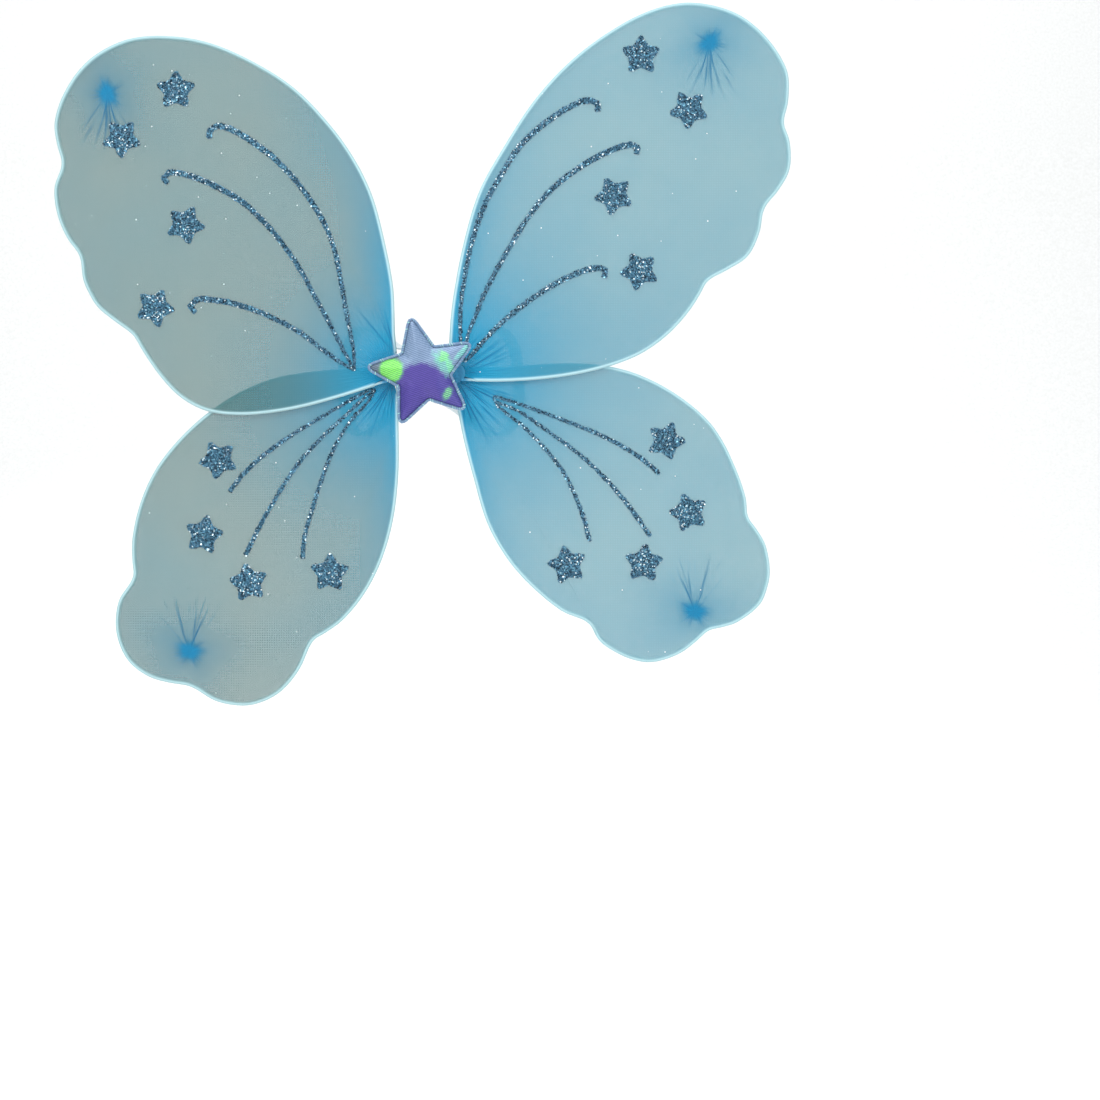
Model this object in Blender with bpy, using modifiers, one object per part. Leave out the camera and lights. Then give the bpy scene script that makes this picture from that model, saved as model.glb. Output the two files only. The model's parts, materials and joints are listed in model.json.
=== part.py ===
"""Fairy wings: four nylon-covered wire wings, a padded star at their centre and two elastic shoulder straps.

Metres, +Z up. The origin is the middle of the felt pad's flat back face, which lies on the wearer's back.
The wearer faces +Y, so the star faces -Y, and the wearer's left is -X. Each wing is drawn flat, in
millimetres from its own hinge: first how far outward from the centre line, then how far up.
"""

import math

import bmesh
import bpy
from mathutils import Vector

MM = 0.001

# Overall sizes: from a wing's hinge to the farthest point of its wire, on the larger wing of each pair.
UPPER_WING_REACH = 0.2851
LOWER_WING_REACH = 0.2434

# Wire and nylon of the wings.
WIRE_RADIUS = 0.0009
WIRE_POINT_SPACING = 0.012
NYLON_THICKNESS = 0.0006
NYLON_START_RADIUS = 0.008
NOTCH_ROUNDING = 0.2
UPPER_EYE_ANGLES = (-105, -180)
LOWER_EYE_ANGLES = (180, 100)
EYE_POINTS = 5

# Glitter glued on the nylon, and the knots that close it behind.
GLITTER_THICKNESS = 0.0005
GLITTER_STAR_RADIUS = 0.0125
GLITTER_STAR_WAIST = 0.0074
UPPER_VEIN_WIDTH = 0.0036
LOWER_VEIN_WIDTH = 0.0025
VEIN_ROOT_SHARE = 0.55
VEIN_POINT_SPACING = 0.006
KNOT_BASE_RADIUS = 0.0045
KNOT_TOP_RADIUS = 0.0022
KNOT_HEIGHT = 0.003

# Hinges: the wings spread round a post at each root, and each root flaps beside the centre binding.
POST_RADIUS = 0.0021
EYE_CLEARANCE = 0.0006
CHEEK_RADIUS = 0.0060
CHEEK_THICKNESS = 0.0010
CHEEK_CLEARANCE = 0.0006
PLANE_CLEARANCE = 0.0016
SPINE_WIDTH = 0.005
SPINE_CLEARANCE = 0.0010
FLAP_ROOM = 0.0022
FLAP_AXIS_INSET = 0.0015

# Centre: felt pad, binding, glue and the padded star.
GAP = 0.0003
PAD_WIDTH = 0.036
PAD_HEIGHT = 0.022
PAD_THICKNESS = 0.002
PAD_CORNER_RADIUS = 0.006
BINDING_WIDTH = 0.0146
BINDING_HEIGHT = 0.018
BINDING_THICKNESS = 0.0084
BINDING_EDGE = 0.0017
PLANE_SETBACK = 0.0037
GLUE_RADIUS = 0.005
STAR_STANDOFF = 0.0066
STAR_RADIUS = 0.0358
STAR_WAIST = 0.0183
STAR_TURN = math.radians(12.5)
STAR_EDGE_RADIUS = 0.0009
STAR_COVER_THICKNESS = 0.0006
STAR_CROWN = 0.0056
STAR_CROWN_STEPS = ((0.0, 0.0), (0.0, 0.18), (0.0009, 0.45), (0.0031, 0.78), (0.0064, 1.0))

# Elastic straps.
STRAP_WIDTH = 0.008
STRAP_THICKNESS = 0.0012
STRAP_GATHERED_WIDTH = 0.0032
STRAP_END_X = 0.005
STRAP_ROOM = 0.0026
STRAP_WIDENING = 0.016
STRAP_POINT_SPACING = 0.009
WHIPPING_WALL = 0.0007
WHIPPING_LENGTH = 0.0022

# Wire outlines, lobe by lobe. Neighbouring lobes share the notch between them.
UPPER_LEFT_LOBES = (
    ((-1, 25), (0, 52), (5, 80), (14, 113), (27, 138), (43, 159), (62, 178), (87, 194), (115, 206),
     (140, 210), (165, 208), (188, 196), (203, 177), (210, 155), (205, 131)),
    ((205, 131), (210, 116), (208, 99), (202, 85), (194, 74)),
    ((194, 74), (192, 59), (183, 42), (172, 33), (161, 25)),
    ((161, 25), (150, 7), (134, -12), (117, -22), (96, -25), (65, -22), (33, -14), (11, -7)),
)
UPPER_RIGHT_LOBES = (
    ((-2, 34), (1, 56), (7, 85), (16, 114), (31, 141), (50, 170), (72, 194), (97, 213), (122, 226),
     (147, 231), (176, 224), (196, 207), (207, 187), (207, 170), (204, 157)),
    ((204, 157), (208, 145), (208, 128), (201, 115), (192, 104)),
    ((192, 104), (189, 88), (182, 74), (170, 66), (157, 59)),
    ((157, 59), (147, 42), (132, 25), (113, 12), (87, 3), (59, -2), (31, -4), (12, -4)),
)
LOWER_LEFT_LOBES = (
    ((27, 2), (52, 0), (74, -4), (94, -12), (113, -24), (131, -40), (147, -60), (157, -82),
     (162, -106), (161, -128)),
    ((161, -128), (170, -142), (172, -161), (165, -179), (150, -190), (126, -195)),
    ((126, -195), (111, -204), (90, -207), (71, -199), (58, -183), (51, -167)),
    ((51, -167), (33, -155), (18, -137), (7, -115), (0, -89), (-3, -60), (-3, -35), (-3, -13)),
)
LOWER_RIGHT_LOBES = (
    ((28, 3), (56, 5), (84, 5), (110, 0), (138, -14), (160, -33), (173, -56), (181, -79), (182, -90)),
    ((182, -90), (193, -107), (196, -124), (190, -144), (176, -155), (158, -160)),
    ((158, -160), (141, -174), (121, -180), (103, -175), (91, -167), (84, -155)),
    ((84, -155), (69, -149), (53, -137), (35, -118), (21, -94), (13, -68), (6, -41), (1, -17)),
)

# Glitter stars: outward, up, and degrees turned counterclockwise as seen from the star's side.
UPPER_LEFT_STARS = ((135, 177, 0), (169, 147, 36), (129, 93, -25), (148, 41, -25))
UPPER_RIGHT_STARS = ((116, 199, 0), (146, 165, 31), (99, 111, 27), (115, 64, 25))
LOWER_LEFT_STARS = ((109, -54, 28), (118, -101, -11), (90, -131, 9), (39, -125, -2))
LOWER_RIGHT_STARS = ((132, -42, -20), (146, -87, 16), (118, -119, -4), (70, -120, 12))

# The knot behind each wing.
UPPER_LEFT_KNOT = (178, 175)
UPPER_RIGHT_KNOT = (159, 207)
LOWER_LEFT_KNOT = (127, -174)
LOWER_RIGHT_KNOT = (150, -149)

# Glitter veins, from the hooked or free end to the root.
UPPER_LEFT_VEINS = (
    ((114, 147), (114, 152), (109, 155), (101, 153), (89, 146), (74, 135), (58, 118), (45, 99),
     (36, 78), (31, 53), (27, 31), (24, 15)),
    ((140, 119), (143, 122), (139, 126), (131, 125), (112, 118), (92, 106), (73, 87), (58, 66),
     (46, 44), (35, 24), (30, 14)),
    ((123, 38), (126, 42), (122, 46), (112, 46), (93, 42), (73, 34), (55, 24), (41, 13), (32, 7)),
)
UPPER_RIGHT_VEINS = (
    ((89, 164), (89, 169), (84, 171), (74, 168), (58, 158), (41, 143), (29, 125), (18, 105),
     (10, 81), (5, 56), (3, 38), (3, 24)),
    ((113, 137), (114, 141), (110, 143), (96, 139), (78, 129), (61, 116), (45, 97), (31, 74),
     (19, 52), (12, 35), (8, 25)),
    ((93, 60), (94, 65), (89, 66), (77, 63), (59, 54), (40, 41), (24, 27), (13, 15), (8, 9)),
)
LOWER_LEFT_VEINS = (
    ((102, -74), (94, -64), (85, -55), (68, -42), (49, -30), (30, -19), (14, -10)),
    ((92, -114), (82, -94), (71, -75), (60, -58), (46, -42), (30, -27), (16, -14)),
    ((56, -116), (55, -103), (50, -85), (43, -63), (35, -44), (27, -31), (16, -19)),
)
LOWER_RIGHT_VEINS = (
    ((128, -63), (115, -52), (98, -42), (80, -34), (59, -26), (40, -19), (24, -14)),
    ((122, -102), (110, -85), (95, -67), (78, -51), (59, -37), (40, -24), (26, -18)),
    ((84, -105), (81, -93), (76, -79), (67, -61), (56, -47), (40, -31), (28, -22)),
)

# The right strap's route from its upper sewn end, round the shoulder, to its lower one: x, y, z. The left
# one is its mirror image. A y of 0 here is the middle of the sewn end.
STRAP_ROUTE = (
    (5.0, 0.0, 3.0), (5.0, 0.0, 9.0), (5.0, 0.0, 14.0), (5.6, 2.5, 16.6), (8, 9, 17.2), (13, 20, 17.5),
    (21, 34, 21), (33, 53, 31), (45, 73, 35), (54, 90, 26), (58, 97, 8), (58, 97, -10), (54, 90, -27),
    (45, 73, -35), (33, 53, -31), (21, 34, -21.5), (13, 20, -17.5), (8, 9, -17.2), (5.6, 2.5, -16.6),
    (5.0, 0.0, -14.0), (5.0, 0.0, -9.0), (5.0, 0.0, -3.0),
)

# Places that follow from the sizes above.
STRAP_Y = -PAD_THICKNESS - STRAP_ROOM / 2
BINDING_BACK_Y = -PAD_THICKNESS - STRAP_ROOM
BINDING_FRONT_Y = BINDING_BACK_Y - BINDING_THICKNESS
STAR_BACK_Y = BINDING_FRONT_Y - STAR_STANDOFF
FLAP_AXIS_Y = BINDING_BACK_Y - PLANE_SETBACK
PLANE_OFFSET = WIRE_RADIUS + PLANE_CLEARANCE / 2
LOWER_PLANE_Y = FLAP_AXIS_Y + PLANE_OFFSET
UPPER_PLANE_Y = FLAP_AXIS_Y - PLANE_OFFSET
CHEEK_BACK_Y = LOWER_PLANE_Y + WIRE_RADIUS + CHEEK_CLEARANCE
CHEEK_FRONT_Y = UPPER_PLANE_Y - WIRE_RADIUS - CHEEK_CLEARANCE
SPINE_INNER_X = BINDING_WIDTH / 2 + FLAP_ROOM
SPINE_OUTER_X = SPINE_INNER_X + SPINE_WIDTH
FLAP_AXIS_X = SPINE_INNER_X + FLAP_AXIS_INSET
WIRE_EYE_RADIUS = POST_RADIUS + EYE_CLEARANCE + WIRE_RADIUS
ROOT_X = SPINE_OUTER_X + SPINE_CLEARANCE + WIRE_RADIUS + WIRE_EYE_RADIUS
FRONT_OF_NYLON = -(NYLON_THICKNESS / 2 + GAP + GLITTER_THICKNESS / 2)
BACK_OF_NYLON = NYLON_THICKNESS / 2 + GAP


# ---------------------------------------------------------------- scene, materials and objects
def clear_scene():
    """Removes every object of the open scene."""
    for obj in list(bpy.data.objects):
        bpy.data.objects.remove(obj, do_unlink=True)


def linear(channel):
    """One sRGB channel, 0 to 1, as linear light."""
    return channel / 12.92 if channel <= 0.04045 else ((channel + 0.055) / 1.055) ** 2.4


def material(name, colour, roughness, metallic=0.0):
    """A Principled material; colour is an sRGB hex number."""
    made = bpy.data.materials.new(name)
    made.use_nodes = True
    shader = made.node_tree.nodes["Principled BSDF"]
    parts = [linear(((colour >> shift) & 255) / 255) for shift in (16, 8, 0)]
    shader.inputs["Base Color"].default_value = (*parts, 1.0)
    shader.inputs["Roughness"].default_value = roughness
    shader.inputs["Metallic"].default_value = metallic
    made.diffuse_color = (*parts, 1.0)
    return made


def add_object(name, data, finish, parent, location):
    """Links data to the wings' collection as a named object under its parent."""
    obj = bpy.data.objects.new(name, data)
    PARTS.objects.link(obj)
    data.materials.append(finish)
    obj.parent = parent
    obj.location = location
    return obj


def hinge(name, parent, place):
    """An empty at a hinge's place, under the empty of the body that carries it."""
    empty = bpy.data.objects.new(name, None)
    empty.empty_display_size = 0.01
    PARTS.objects.link(empty)
    empty.parent = parent
    empty.location = Vector(place) - (world_place(parent) if parent else Vector())
    return empty


def world_place(empty):
    """Where a hinge's empty stands in the world: hinges are never turned, so places add up."""
    place = empty.location.copy()
    return place + world_place(empty.parent) if empty.parent else place


def local_place(parent, place):
    """A world place as its parent hinge sees it."""
    return Vector(place) - world_place(parent)


# ---------------------------------------------------------------- lines and outlines
def smooth_run(points, spacing):
    """Points about spacing apart on a centripetal Catmull-Rom curve through the given ones."""
    points = [Vector(point) for point in points]
    padded = [2 * points[0] - points[1], *points, 2 * points[-1] - points[-2]]
    run = []
    for before, start, end, after in zip(padded, padded[1:], padded[2:], padded[3:]):
        t1 = math.sqrt((start - before).length)
        t2 = t1 + math.sqrt((end - start).length)
        t3 = t2 + math.sqrt((after - end).length)
        count = max(1, round((end - start).length / spacing))
        for step in range(count):
            t = t1 + (t2 - t1) * step / count
            a = before * ((t1 - t) / t1) + start * (t / t1)
            b = start * ((t2 - t) / (t2 - t1)) + end * ((t - t1) / (t2 - t1))
            c = end * ((t3 - t) / (t3 - t2)) + after * ((t - t2) / (t3 - t2))
            d = a * ((t2 - t) / t2) + b * (t / t2)
            e = b * ((t3 - t) / (t3 - t1)) + c * ((t - t1) / (t3 - t1))
            run.append(d * ((t2 - t) / (t2 - t1)) + e * ((t - t1) / (t2 - t1)))
    run.append(points[-1])
    return run


def inset(outline, distance):
    """A closed outline moved inward by a distance along its corners' bisectors."""
    count = len(outline)
    area = sum(outline[i - 1].cross(outline[i]) for i in range(count))
    inward = 1 if area > 0 else -1
    moved = []
    for i, corner in enumerate(outline):
        arriving = (corner - outline[i - 1]).normalized()
        leaving = (outline[(i + 1) % count] - corner).normalized()
        first = Vector((-arriving.y, arriving.x)) * inward
        second = Vector((-leaving.y, leaving.x)) * inward
        moved.append(corner + (first + second) * (distance / (1 + first.dot(second))))
    return moved


def arc(radius, start, end, count):
    """Points on a circle round the origin, from one angle to another in degrees."""
    angles = [math.radians(start + (end - start) * i / (count - 1)) for i in range(count)]
    return [Vector((radius * math.cos(angle), radius * math.sin(angle))) for angle in angles]


def round_notch(before, corner, after):
    """The two points that stand in for a notch's sharp corner."""
    return [corner.lerp(before, NOTCH_ROUNDING), corner.lerp(after, NOTCH_ROUNDING)]


def drawn_reach(*wings):
    """The farthest drawn distance from the hinge over these wings, in drawn units."""
    return max(math.hypot(*point) for lobes in wings for lobe in lobes for point in lobe)


def wire_outline(lobes, eye, scale):
    """The closed middle line of a wing's wire: an eye round the post at the hinge, then the lobes."""
    runs = [[Vector(point) * scale for point in lobe] for lobe in lobes]
    runs[0].insert(0, eye[-1])
    runs[-1].append(eye[0])
    runs = [smooth_run(run, WIRE_POINT_SPACING) for run in runs]
    outline = list(eye[1:-1]) + runs[0][:-1]
    for previous, run in zip(runs, runs[1:]):
        outline += round_notch(previous[-2], run[0], run[1]) + run[1:-1]
    return outline + [runs[-1][-1]]


def star_outline(radius, waist, turn, move_in=0.0, tip_points=3, roundness=0.3):
    """A five-pointed star with rounded tips, its sides moved in by move_in."""
    tenth = math.pi / 5
    waist_reach = waist * math.cos(tenth)
    sharp = (radius - 0.5 * roundness * waist_reach) / (1 - 0.5 * roundness)
    half_tip = math.atan2(waist * math.sin(tenth), sharp - waist_reach)
    sharp -= move_in / math.sin(half_tip)
    waist -= move_in / math.sin(half_tip + tenth)
    corners = [
        Vector((math.cos(angle), math.sin(angle))) * (waist if i % 2 else sharp)
        for i in range(10)
        for angle in [turn + math.pi / 2 + i * tenth]
    ]
    outline = []
    for i in range(0, 10, 2):
        start = corners[i].lerp(corners[i - 1], roundness)
        end = corners[i].lerp(corners[i + 1], roundness)
        for step in range(tip_points):
            t = step / (tip_points - 1)
            outline.append(start * (1 - t) ** 2 + corners[i] * 2 * t * (1 - t) + end * t**2)
        outline.append(corners[i + 1])
    return outline


def ribbon_outline(middle, width, end_share):
    """A flat ribbon's outline round its middle line, narrowing to a share of its width at the end."""
    left, right = [], []
    last = len(middle) - 1
    for i, point in enumerate(middle):
        along = (middle[min(i + 1, last)] - middle[max(i - 1, 0)]).normalized()
        across = Vector((-along.y, along.x)) * width / 2 * (1 + (end_share - 1) * i / last)
        left.append(point + across)
        right.append(point - across)
    return left + right[::-1]


# ---------------------------------------------------------------- kinds of piece
def curve_data(name, outlines, dimensions):
    """A curve with one closed straight-sided spline for each outline."""
    curve = bpy.data.curves.new(name, "CURVE")
    curve.dimensions = dimensions
    for outline in outlines:
        spline = curve.splines.new("POLY")
        spline.points.add(len(outline) - 1)
        for point, place in zip(spline.points, outline):
            point.co = (place[0], place[1], 0.0, 1.0)
        spline.use_cyclic_u = True
    return curve


def upright_plate(name, outlines, thickness, finish, parent, location):
    """A flat piece of this thickness that stands in the X-Z plane. A second outline is a hole."""
    curve = curve_data(name, outlines, "2D")
    curve.fill_mode = "BOTH"
    curve.extrude = thickness / 2
    plate = add_object(name, curve, finish, parent, location)
    plate.rotation_euler.x = math.pi / 2
    return plate


def upright_wire(name, outline, radius, finish, parent, location):
    """A closed round wire in the X-Z plane."""
    curve = curve_data(name, [outline], "3D")
    curve.bevel_depth = radius
    curve.bevel_resolution = 2
    wire = add_object(name, curve, finish, parent, location)
    wire.rotation_euler.x = math.pi / 2
    return wire


def mesh_piece(name, shape, finish, parent, location):
    """A mesh object made from a bmesh, with its faces turned outward."""
    bmesh.ops.recalc_face_normals(shape, faces=shape.faces)
    mesh = bpy.data.meshes.new(name)
    shape.to_mesh(mesh)
    shape.free()
    return add_object(name, mesh, finish, parent, location)


def box_between(shape, low, high):
    """Adds a box from its low corner to its high corner."""
    for vert in bmesh.ops.create_cube(shape, size=1.0)["verts"]:
        vert.co = Vector(low[i] if vert.co[i] < 0 else high[i] for i in range(3))


def cone_along_y(shape, radius_back, radius_front, back_y, front_y, segments):
    """Adds a closed cone or cylinder along Y, round the origin."""
    made = bmesh.ops.create_cone(
        shape, cap_ends=True, segments=segments, radius1=radius_back, radius2=radius_front, depth=1.0
    )["verts"]
    for vert in made:
        along = vert.co.z + 0.5
        vert.co = Vector((vert.co.x, back_y + (front_y - back_y) * along, vert.co.y))


def round_edges(obj, width):
    """Rounds a mesh's edges with a Bevel modifier."""
    bevel = obj.modifiers.new("Rounded edges", "BEVEL")
    bevel.width = width
    bevel.segments = 2


def join_with(obj, other):
    """Unions a second mesh object into the first with a live Boolean, and hides the second."""
    PARTS.objects.unlink(other)
    CUTTERS.objects.link(other)
    other.hide_render = True
    other.display_type = "WIRE"
    union = obj.modifiers.new("Join " + other.name, "BOOLEAN")
    union.operation = "UNION"
    union.solver = "EXACT"
    union.object = other


# ---------------------------------------------------------------- wings
def make_wing(name, side, upper, lobes, stars, veins, knot, root, scale):
    """One wing on its spread hinge: wire, nylon, knot, glitter stars and glitter veins."""
    plane = UPPER_PLANE_Y if upper else LOWER_PLANE_Y
    pivot = hinge(name + "_wing_spread", root, (side * ROOT_X, plane, 0.0))
    eye = arc(WIRE_EYE_RADIUS, *(UPPER_EYE_ANGLES if upper else LOWER_EYE_ANGLES), EYE_POINTS)
    outline = wire_outline(lobes, eye, scale)

    def sided(points):
        return [Vector((side * point[0], point[1])) for point in points]

    upright_wire(name + "_wing_wire", sided(outline), WIRE_RADIUS, WIRE, pivot, Vector())
    cloth = [
        point
        for point, middle in zip(inset(outline, WIRE_RADIUS + GAP), outline)
        if middle.length > NYLON_START_RADIUS
    ]
    upright_plate(name + "_wing_nylon", [sided(cloth)], NYLON_THICKNESS, NYLON, pivot, Vector())
    knot_shape = bmesh.new()
    cone_along_y(knot_shape, KNOT_TOP_RADIUS, KNOT_BASE_RADIUS, KNOT_HEIGHT, 0.0, 12)
    knot_place = Vector((side * knot[0] * scale, BACK_OF_NYLON, knot[1] * scale))
    mesh_piece(name + "_wing_knot", knot_shape, KNOT, pivot, knot_place)
    for number, (out, up, turned) in enumerate(stars, 1):
        shape = star_outline(GLITTER_STAR_RADIUS, GLITTER_STAR_WAIST, math.radians(turned))
        place = Vector((side * out * scale, FRONT_OF_NYLON, up * scale))
        label = f"{name}_glitter_star_{number}"
        upright_plate(label, [shape], GLITTER_THICKNESS, GLITTER, pivot, place)
    width = UPPER_VEIN_WIDTH if upper else LOWER_VEIN_WIDTH
    for number, vein in enumerate(veins, 1):
        middle = smooth_run([Vector(point) * scale for point in vein], VEIN_POINT_SPACING)
        shape = sided(ribbon_outline(middle, width, VEIN_ROOT_SHARE))
        label = f"{name}_glitter_vein_{number}"
        upright_plate(label, [shape], GLITTER_THICKNESS, GLITTER, pivot, Vector((0, FRONT_OF_NYLON, 0)))


def make_root(name, side):
    """A wing root: a taped spine beside the centre, two cheeks and the post that the wires' eyes turn on."""
    root = hinge(name + "_flap", None, (side * FLAP_AXIS_X, FLAP_AXIS_Y, 0.0))
    back = CHEEK_BACK_Y + CHEEK_THICKNESS
    front = CHEEK_FRONT_Y - CHEEK_THICKNESS
    place = local_place(root, (0.0, 0.0, 0.0))
    spine = bmesh.new()
    ends = sorted((side * SPINE_INNER_X, side * SPINE_OUTER_X))
    box_between(spine, (ends[0], front, -CHEEK_RADIUS), (ends[1], back, CHEEK_RADIUS))
    binding = mesh_piece(name + "_wing_binding", spine, TAPE, root, place)
    post = bmesh.new()
    cone_along_y(post, POST_RADIUS, POST_RADIUS, back, front, 16)
    pieces = [mesh_piece(name + "_post_shape", post, TAPE, root, place + Vector((side * ROOT_X, 0, 0)))]
    for label, y0, y1 in (("back", back, CHEEK_BACK_Y), ("front", CHEEK_FRONT_Y, front)):
        cheek = bmesh.new()
        cone_along_y(cheek, CHEEK_RADIUS, CHEEK_RADIUS, y0, y1, 24)
        for vert in cheek.verts:
            vert.co.x += side * ROOT_X
        # The half of the disc that faces the spine is stretched to reach into it.
        for vert in cheek.verts:
            if side * vert.co.x < ROOT_X:
                short = (ROOT_X - side * vert.co.x) / CHEEK_RADIUS
                vert.co.x = side * (ROOT_X - short * (ROOT_X - SPINE_OUTER_X + CHEEK_THICKNESS))
        pieces.append(mesh_piece(f"{name}_{label}_cheek_shape", cheek, TAPE, root, place))
    for piece in pieces:
        join_with(binding, piece)
    return root


# ---------------------------------------------------------------- centre
def make_pad_and_binding():
    """The felt pad on the wearer's back, and the taped bundle that the two roots bend away from."""
    half_width = PAD_WIDTH / 2 - PAD_CORNER_RADIUS
    half_height = PAD_HEIGHT / 2 - PAD_CORNER_RADIUS
    outline = []
    for x, z, start in ((1, 1, 0), (-1, 1, 90), (-1, -1, 180), (1, -1, 270)):
        corner = Vector((x * half_width, z * half_height))
        outline += [corner + point for point in arc(PAD_CORNER_RADIUS, start, start + 90, 5)]
    upright_plate("back_pad", [outline], PAD_THICKNESS, FELT, None, (0, -PAD_THICKNESS / 2, 0))
    shape = bmesh.new()
    half = Vector((BINDING_WIDTH / 2, 0, BINDING_HEIGHT / 2))
    low = (-half.x, BINDING_FRONT_Y, -half.z)
    box_between(shape, low, (half.x, BINDING_BACK_Y, half.z))
    round_edges(mesh_piece("centre_binding", shape, TAPE, None, (0, 0, 0)), BINDING_EDGE)
    glue = bmesh.new()
    cone_along_y(glue, GLUE_RADIUS, GLUE_RADIUS, BINDING_FRONT_Y - GAP, STAR_BACK_Y + GAP, 20)
    mesh_piece("star_glue_spot", glue, GLUE, None, (0, 0, 0))


def star_rings(profile, base_y):
    """A bmesh of a star's crowned front, and its rings: each step of profile is (moved in, height)."""
    shape = bmesh.new()
    rings = []
    for move_in, height in profile:
        outline = star_outline(STAR_RADIUS, STAR_WAIST, STAR_TURN, move_in, tip_points=5)
        rings.append([shape.verts.new((point.x, base_y - height, point.y)) for point in outline])
    for outer, inner in zip(rings, rings[1:]):
        for i in range(len(outer)):
            shape.faces.new((outer[i - 1], outer[i], inner[i], inner[i - 1]))
    shape.faces.new(rings[-1])
    return shape, rings


def make_star():
    """The padded star: back cover, foam, crowned front cover and the stitched edge that joins them."""
    hem = 2 * STAR_EDGE_RADIUS + GAP
    back = star_outline(STAR_RADIUS, STAR_WAIST, STAR_TURN, hem, tip_points=5)
    middle_y = STAR_BACK_Y - STAR_COVER_THICKNESS / 2
    upright_plate("star_back_cover", [back], STAR_COVER_THICKNESS, STAR_FILM, None, (0, middle_y, 0))
    base_y = STAR_BACK_Y - STAR_COVER_THICKNESS - GAP
    profile = [(hem + move_in, share) for move_in, share in STAR_CROWN_STEPS]
    cover, _ = star_rings([(move_in, share * STAR_CROWN) for move_in, share in profile], base_y)
    front = mesh_piece("star_front_cover", cover, STAR_FILM, None, (0, 0, 0))
    wall = front.modifiers.new("Cover thickness", "SOLIDIFY")
    wall.thickness = STAR_COVER_THICKNESS
    wall.offset = -1.0
    wall.use_even_offset = True
    room = STAR_COVER_THICKNESS + GAP
    foam_profile = [(m + 2 * STAR_COVER_THICKNESS, s * (STAR_CROWN - room)) for m, s in profile]
    foam, rings = star_rings(foam_profile, base_y)
    foam.faces.new(rings[0])
    mesh_piece("star_padding", foam, FOAM, None, (0, 0, 0))
    edge = star_outline(STAR_RADIUS, STAR_WAIST, STAR_TURN, STAR_EDGE_RADIUS, tip_points=5)
    edge_y = base_y + GAP / 2
    upright_wire("star_stitched_edge", edge, STAR_EDGE_RADIUS, THREAD, None, (0, edge_y, 0))


# ---------------------------------------------------------------- straps
def strap_width(distance, length):
    """A strap's width at a distance along it: gathered at both sewn ends, full between them."""
    gathered = abs(STRAP_ROUTE[2][2] - STRAP_ROUTE[0][2]) * MM
    share = (min(distance, length - distance) - gathered) / STRAP_WIDENING
    share = min(max(share, 0.0), 1.0)
    smooth = share * share * (3 - 2 * share)
    return STRAP_GATHERED_WIDTH + (STRAP_WIDTH - STRAP_GATHERED_WIDTH) * smooth


def strap_shape(route):
    """A flat band swept along its route, its width lying as near X as the route allows."""
    shape = bmesh.new()
    total = sum((b - a).length for a, b in zip(route, route[1:]))
    walked = 0.0
    rings = []
    last = len(route) - 1
    for i, point in enumerate(route):
        walked += (point - route[i - 1]).length if i else 0.0
        along = (route[min(i + 1, last)] - route[max(i - 1, 0)]).normalized()
        across = (Vector((1, 0, 0)) - along * along.x).normalized()
        outward = along.cross(across)
        half_width = strap_width(walked, total) / 2
        half_thickness = STRAP_THICKNESS / 2
        cut = half_thickness / 2
        corners = (
            (half_width, half_thickness - cut), (half_width - cut, half_thickness),
            (cut - half_width, half_thickness), (-half_width, half_thickness - cut),
            (-half_width, cut - half_thickness), (cut - half_width, -half_thickness),
            (half_width - cut, -half_thickness), (half_width, cut - half_thickness),
        )
        rings.append([shape.verts.new(point + across * w + outward * t) for w, t in corners])
    for first, second in zip(rings, rings[1:]):
        for i in range(len(first)):
            shape.faces.new((first[i - 1], first[i], second[i], second[i - 1]))
    shape.faces.new(rings[0])
    shape.faces.new(rings[-1])
    return shape


def make_strap(name, side):
    """A shoulder strap on its swing hinge, with a thread whipping round each gathered end."""
    pivot = hinge(name + "_strap_swing", None, (side * STRAP_END_X, STRAP_Y, 0.0))
    start_x = STRAP_ROUTE[0][0]
    points = [(side * (x - start_x) * MM, y * MM, z * MM) for x, y, z in STRAP_ROUTE]
    route = smooth_run(points, STRAP_POINT_SPACING)
    mesh_piece(name + "_shoulder_strap", strap_shape(route), ELASTIC, pivot, Vector())
    hole_width = STRAP_GATHERED_WIDTH / 2 + GAP
    hole_depth = STRAP_THICKNESS / 2 + GAP
    for label, up in (("upper", 1), ("lower", -1)):
        outlines = []
        for wall in (WHIPPING_WALL, 0.0):
            x, y = hole_width + wall, hole_depth + wall
            outlines.append([(x, -y), (x, y), (-x, y), (-x, -y)])
        ring = f"{name}_strap_{label}_whipping"
        curve = curve_data(ring, outlines, "2D")
        curve.fill_mode = "BOTH"
        curve.extrude = WHIPPING_LENGTH / 2
        z = up * (PAD_HEIGHT / 2 + GAP + WHIPPING_LENGTH / 2)
        add_object(ring, curve, THREAD, pivot, Vector((0, 0, z)))


clear_scene()
PARTS = bpy.data.collections.new("Fairy wings")
CUTTERS = bpy.data.collections.new("Fairy wings cutters")
bpy.context.scene.collection.children.link(PARTS)
bpy.context.scene.collection.children.link(CUTTERS)

WIRE = material("Coated steel wire", 0xCFEFF4, 0.35, 0.6)
NYLON = material("Stretched nylon", 0x8FC4CE, 0.55)
KNOT = material("Gathered nylon", 0x2A9BD6, 0.6)
GLITTER = material("Glitter", 0x3F6F8C, 0.3, 0.5)
TAPE = material("Binding tape", 0x5CB9D6, 0.6)
FELT = material("Felt", 0x7FC8DE, 0.95)
GLUE = material("Hot glue", 0xE8F0F0, 0.3)
STAR_FILM = material("Iridescent film", 0x7F98B8, 0.25, 0.4)
FOAM = material("Foam", 0xF0F0EA, 0.9)
THREAD = material("Thread", 0x9FE3D8, 0.6)
ELASTIC = material("Elastic webbing", 0x9CD6E6, 0.8)

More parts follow.
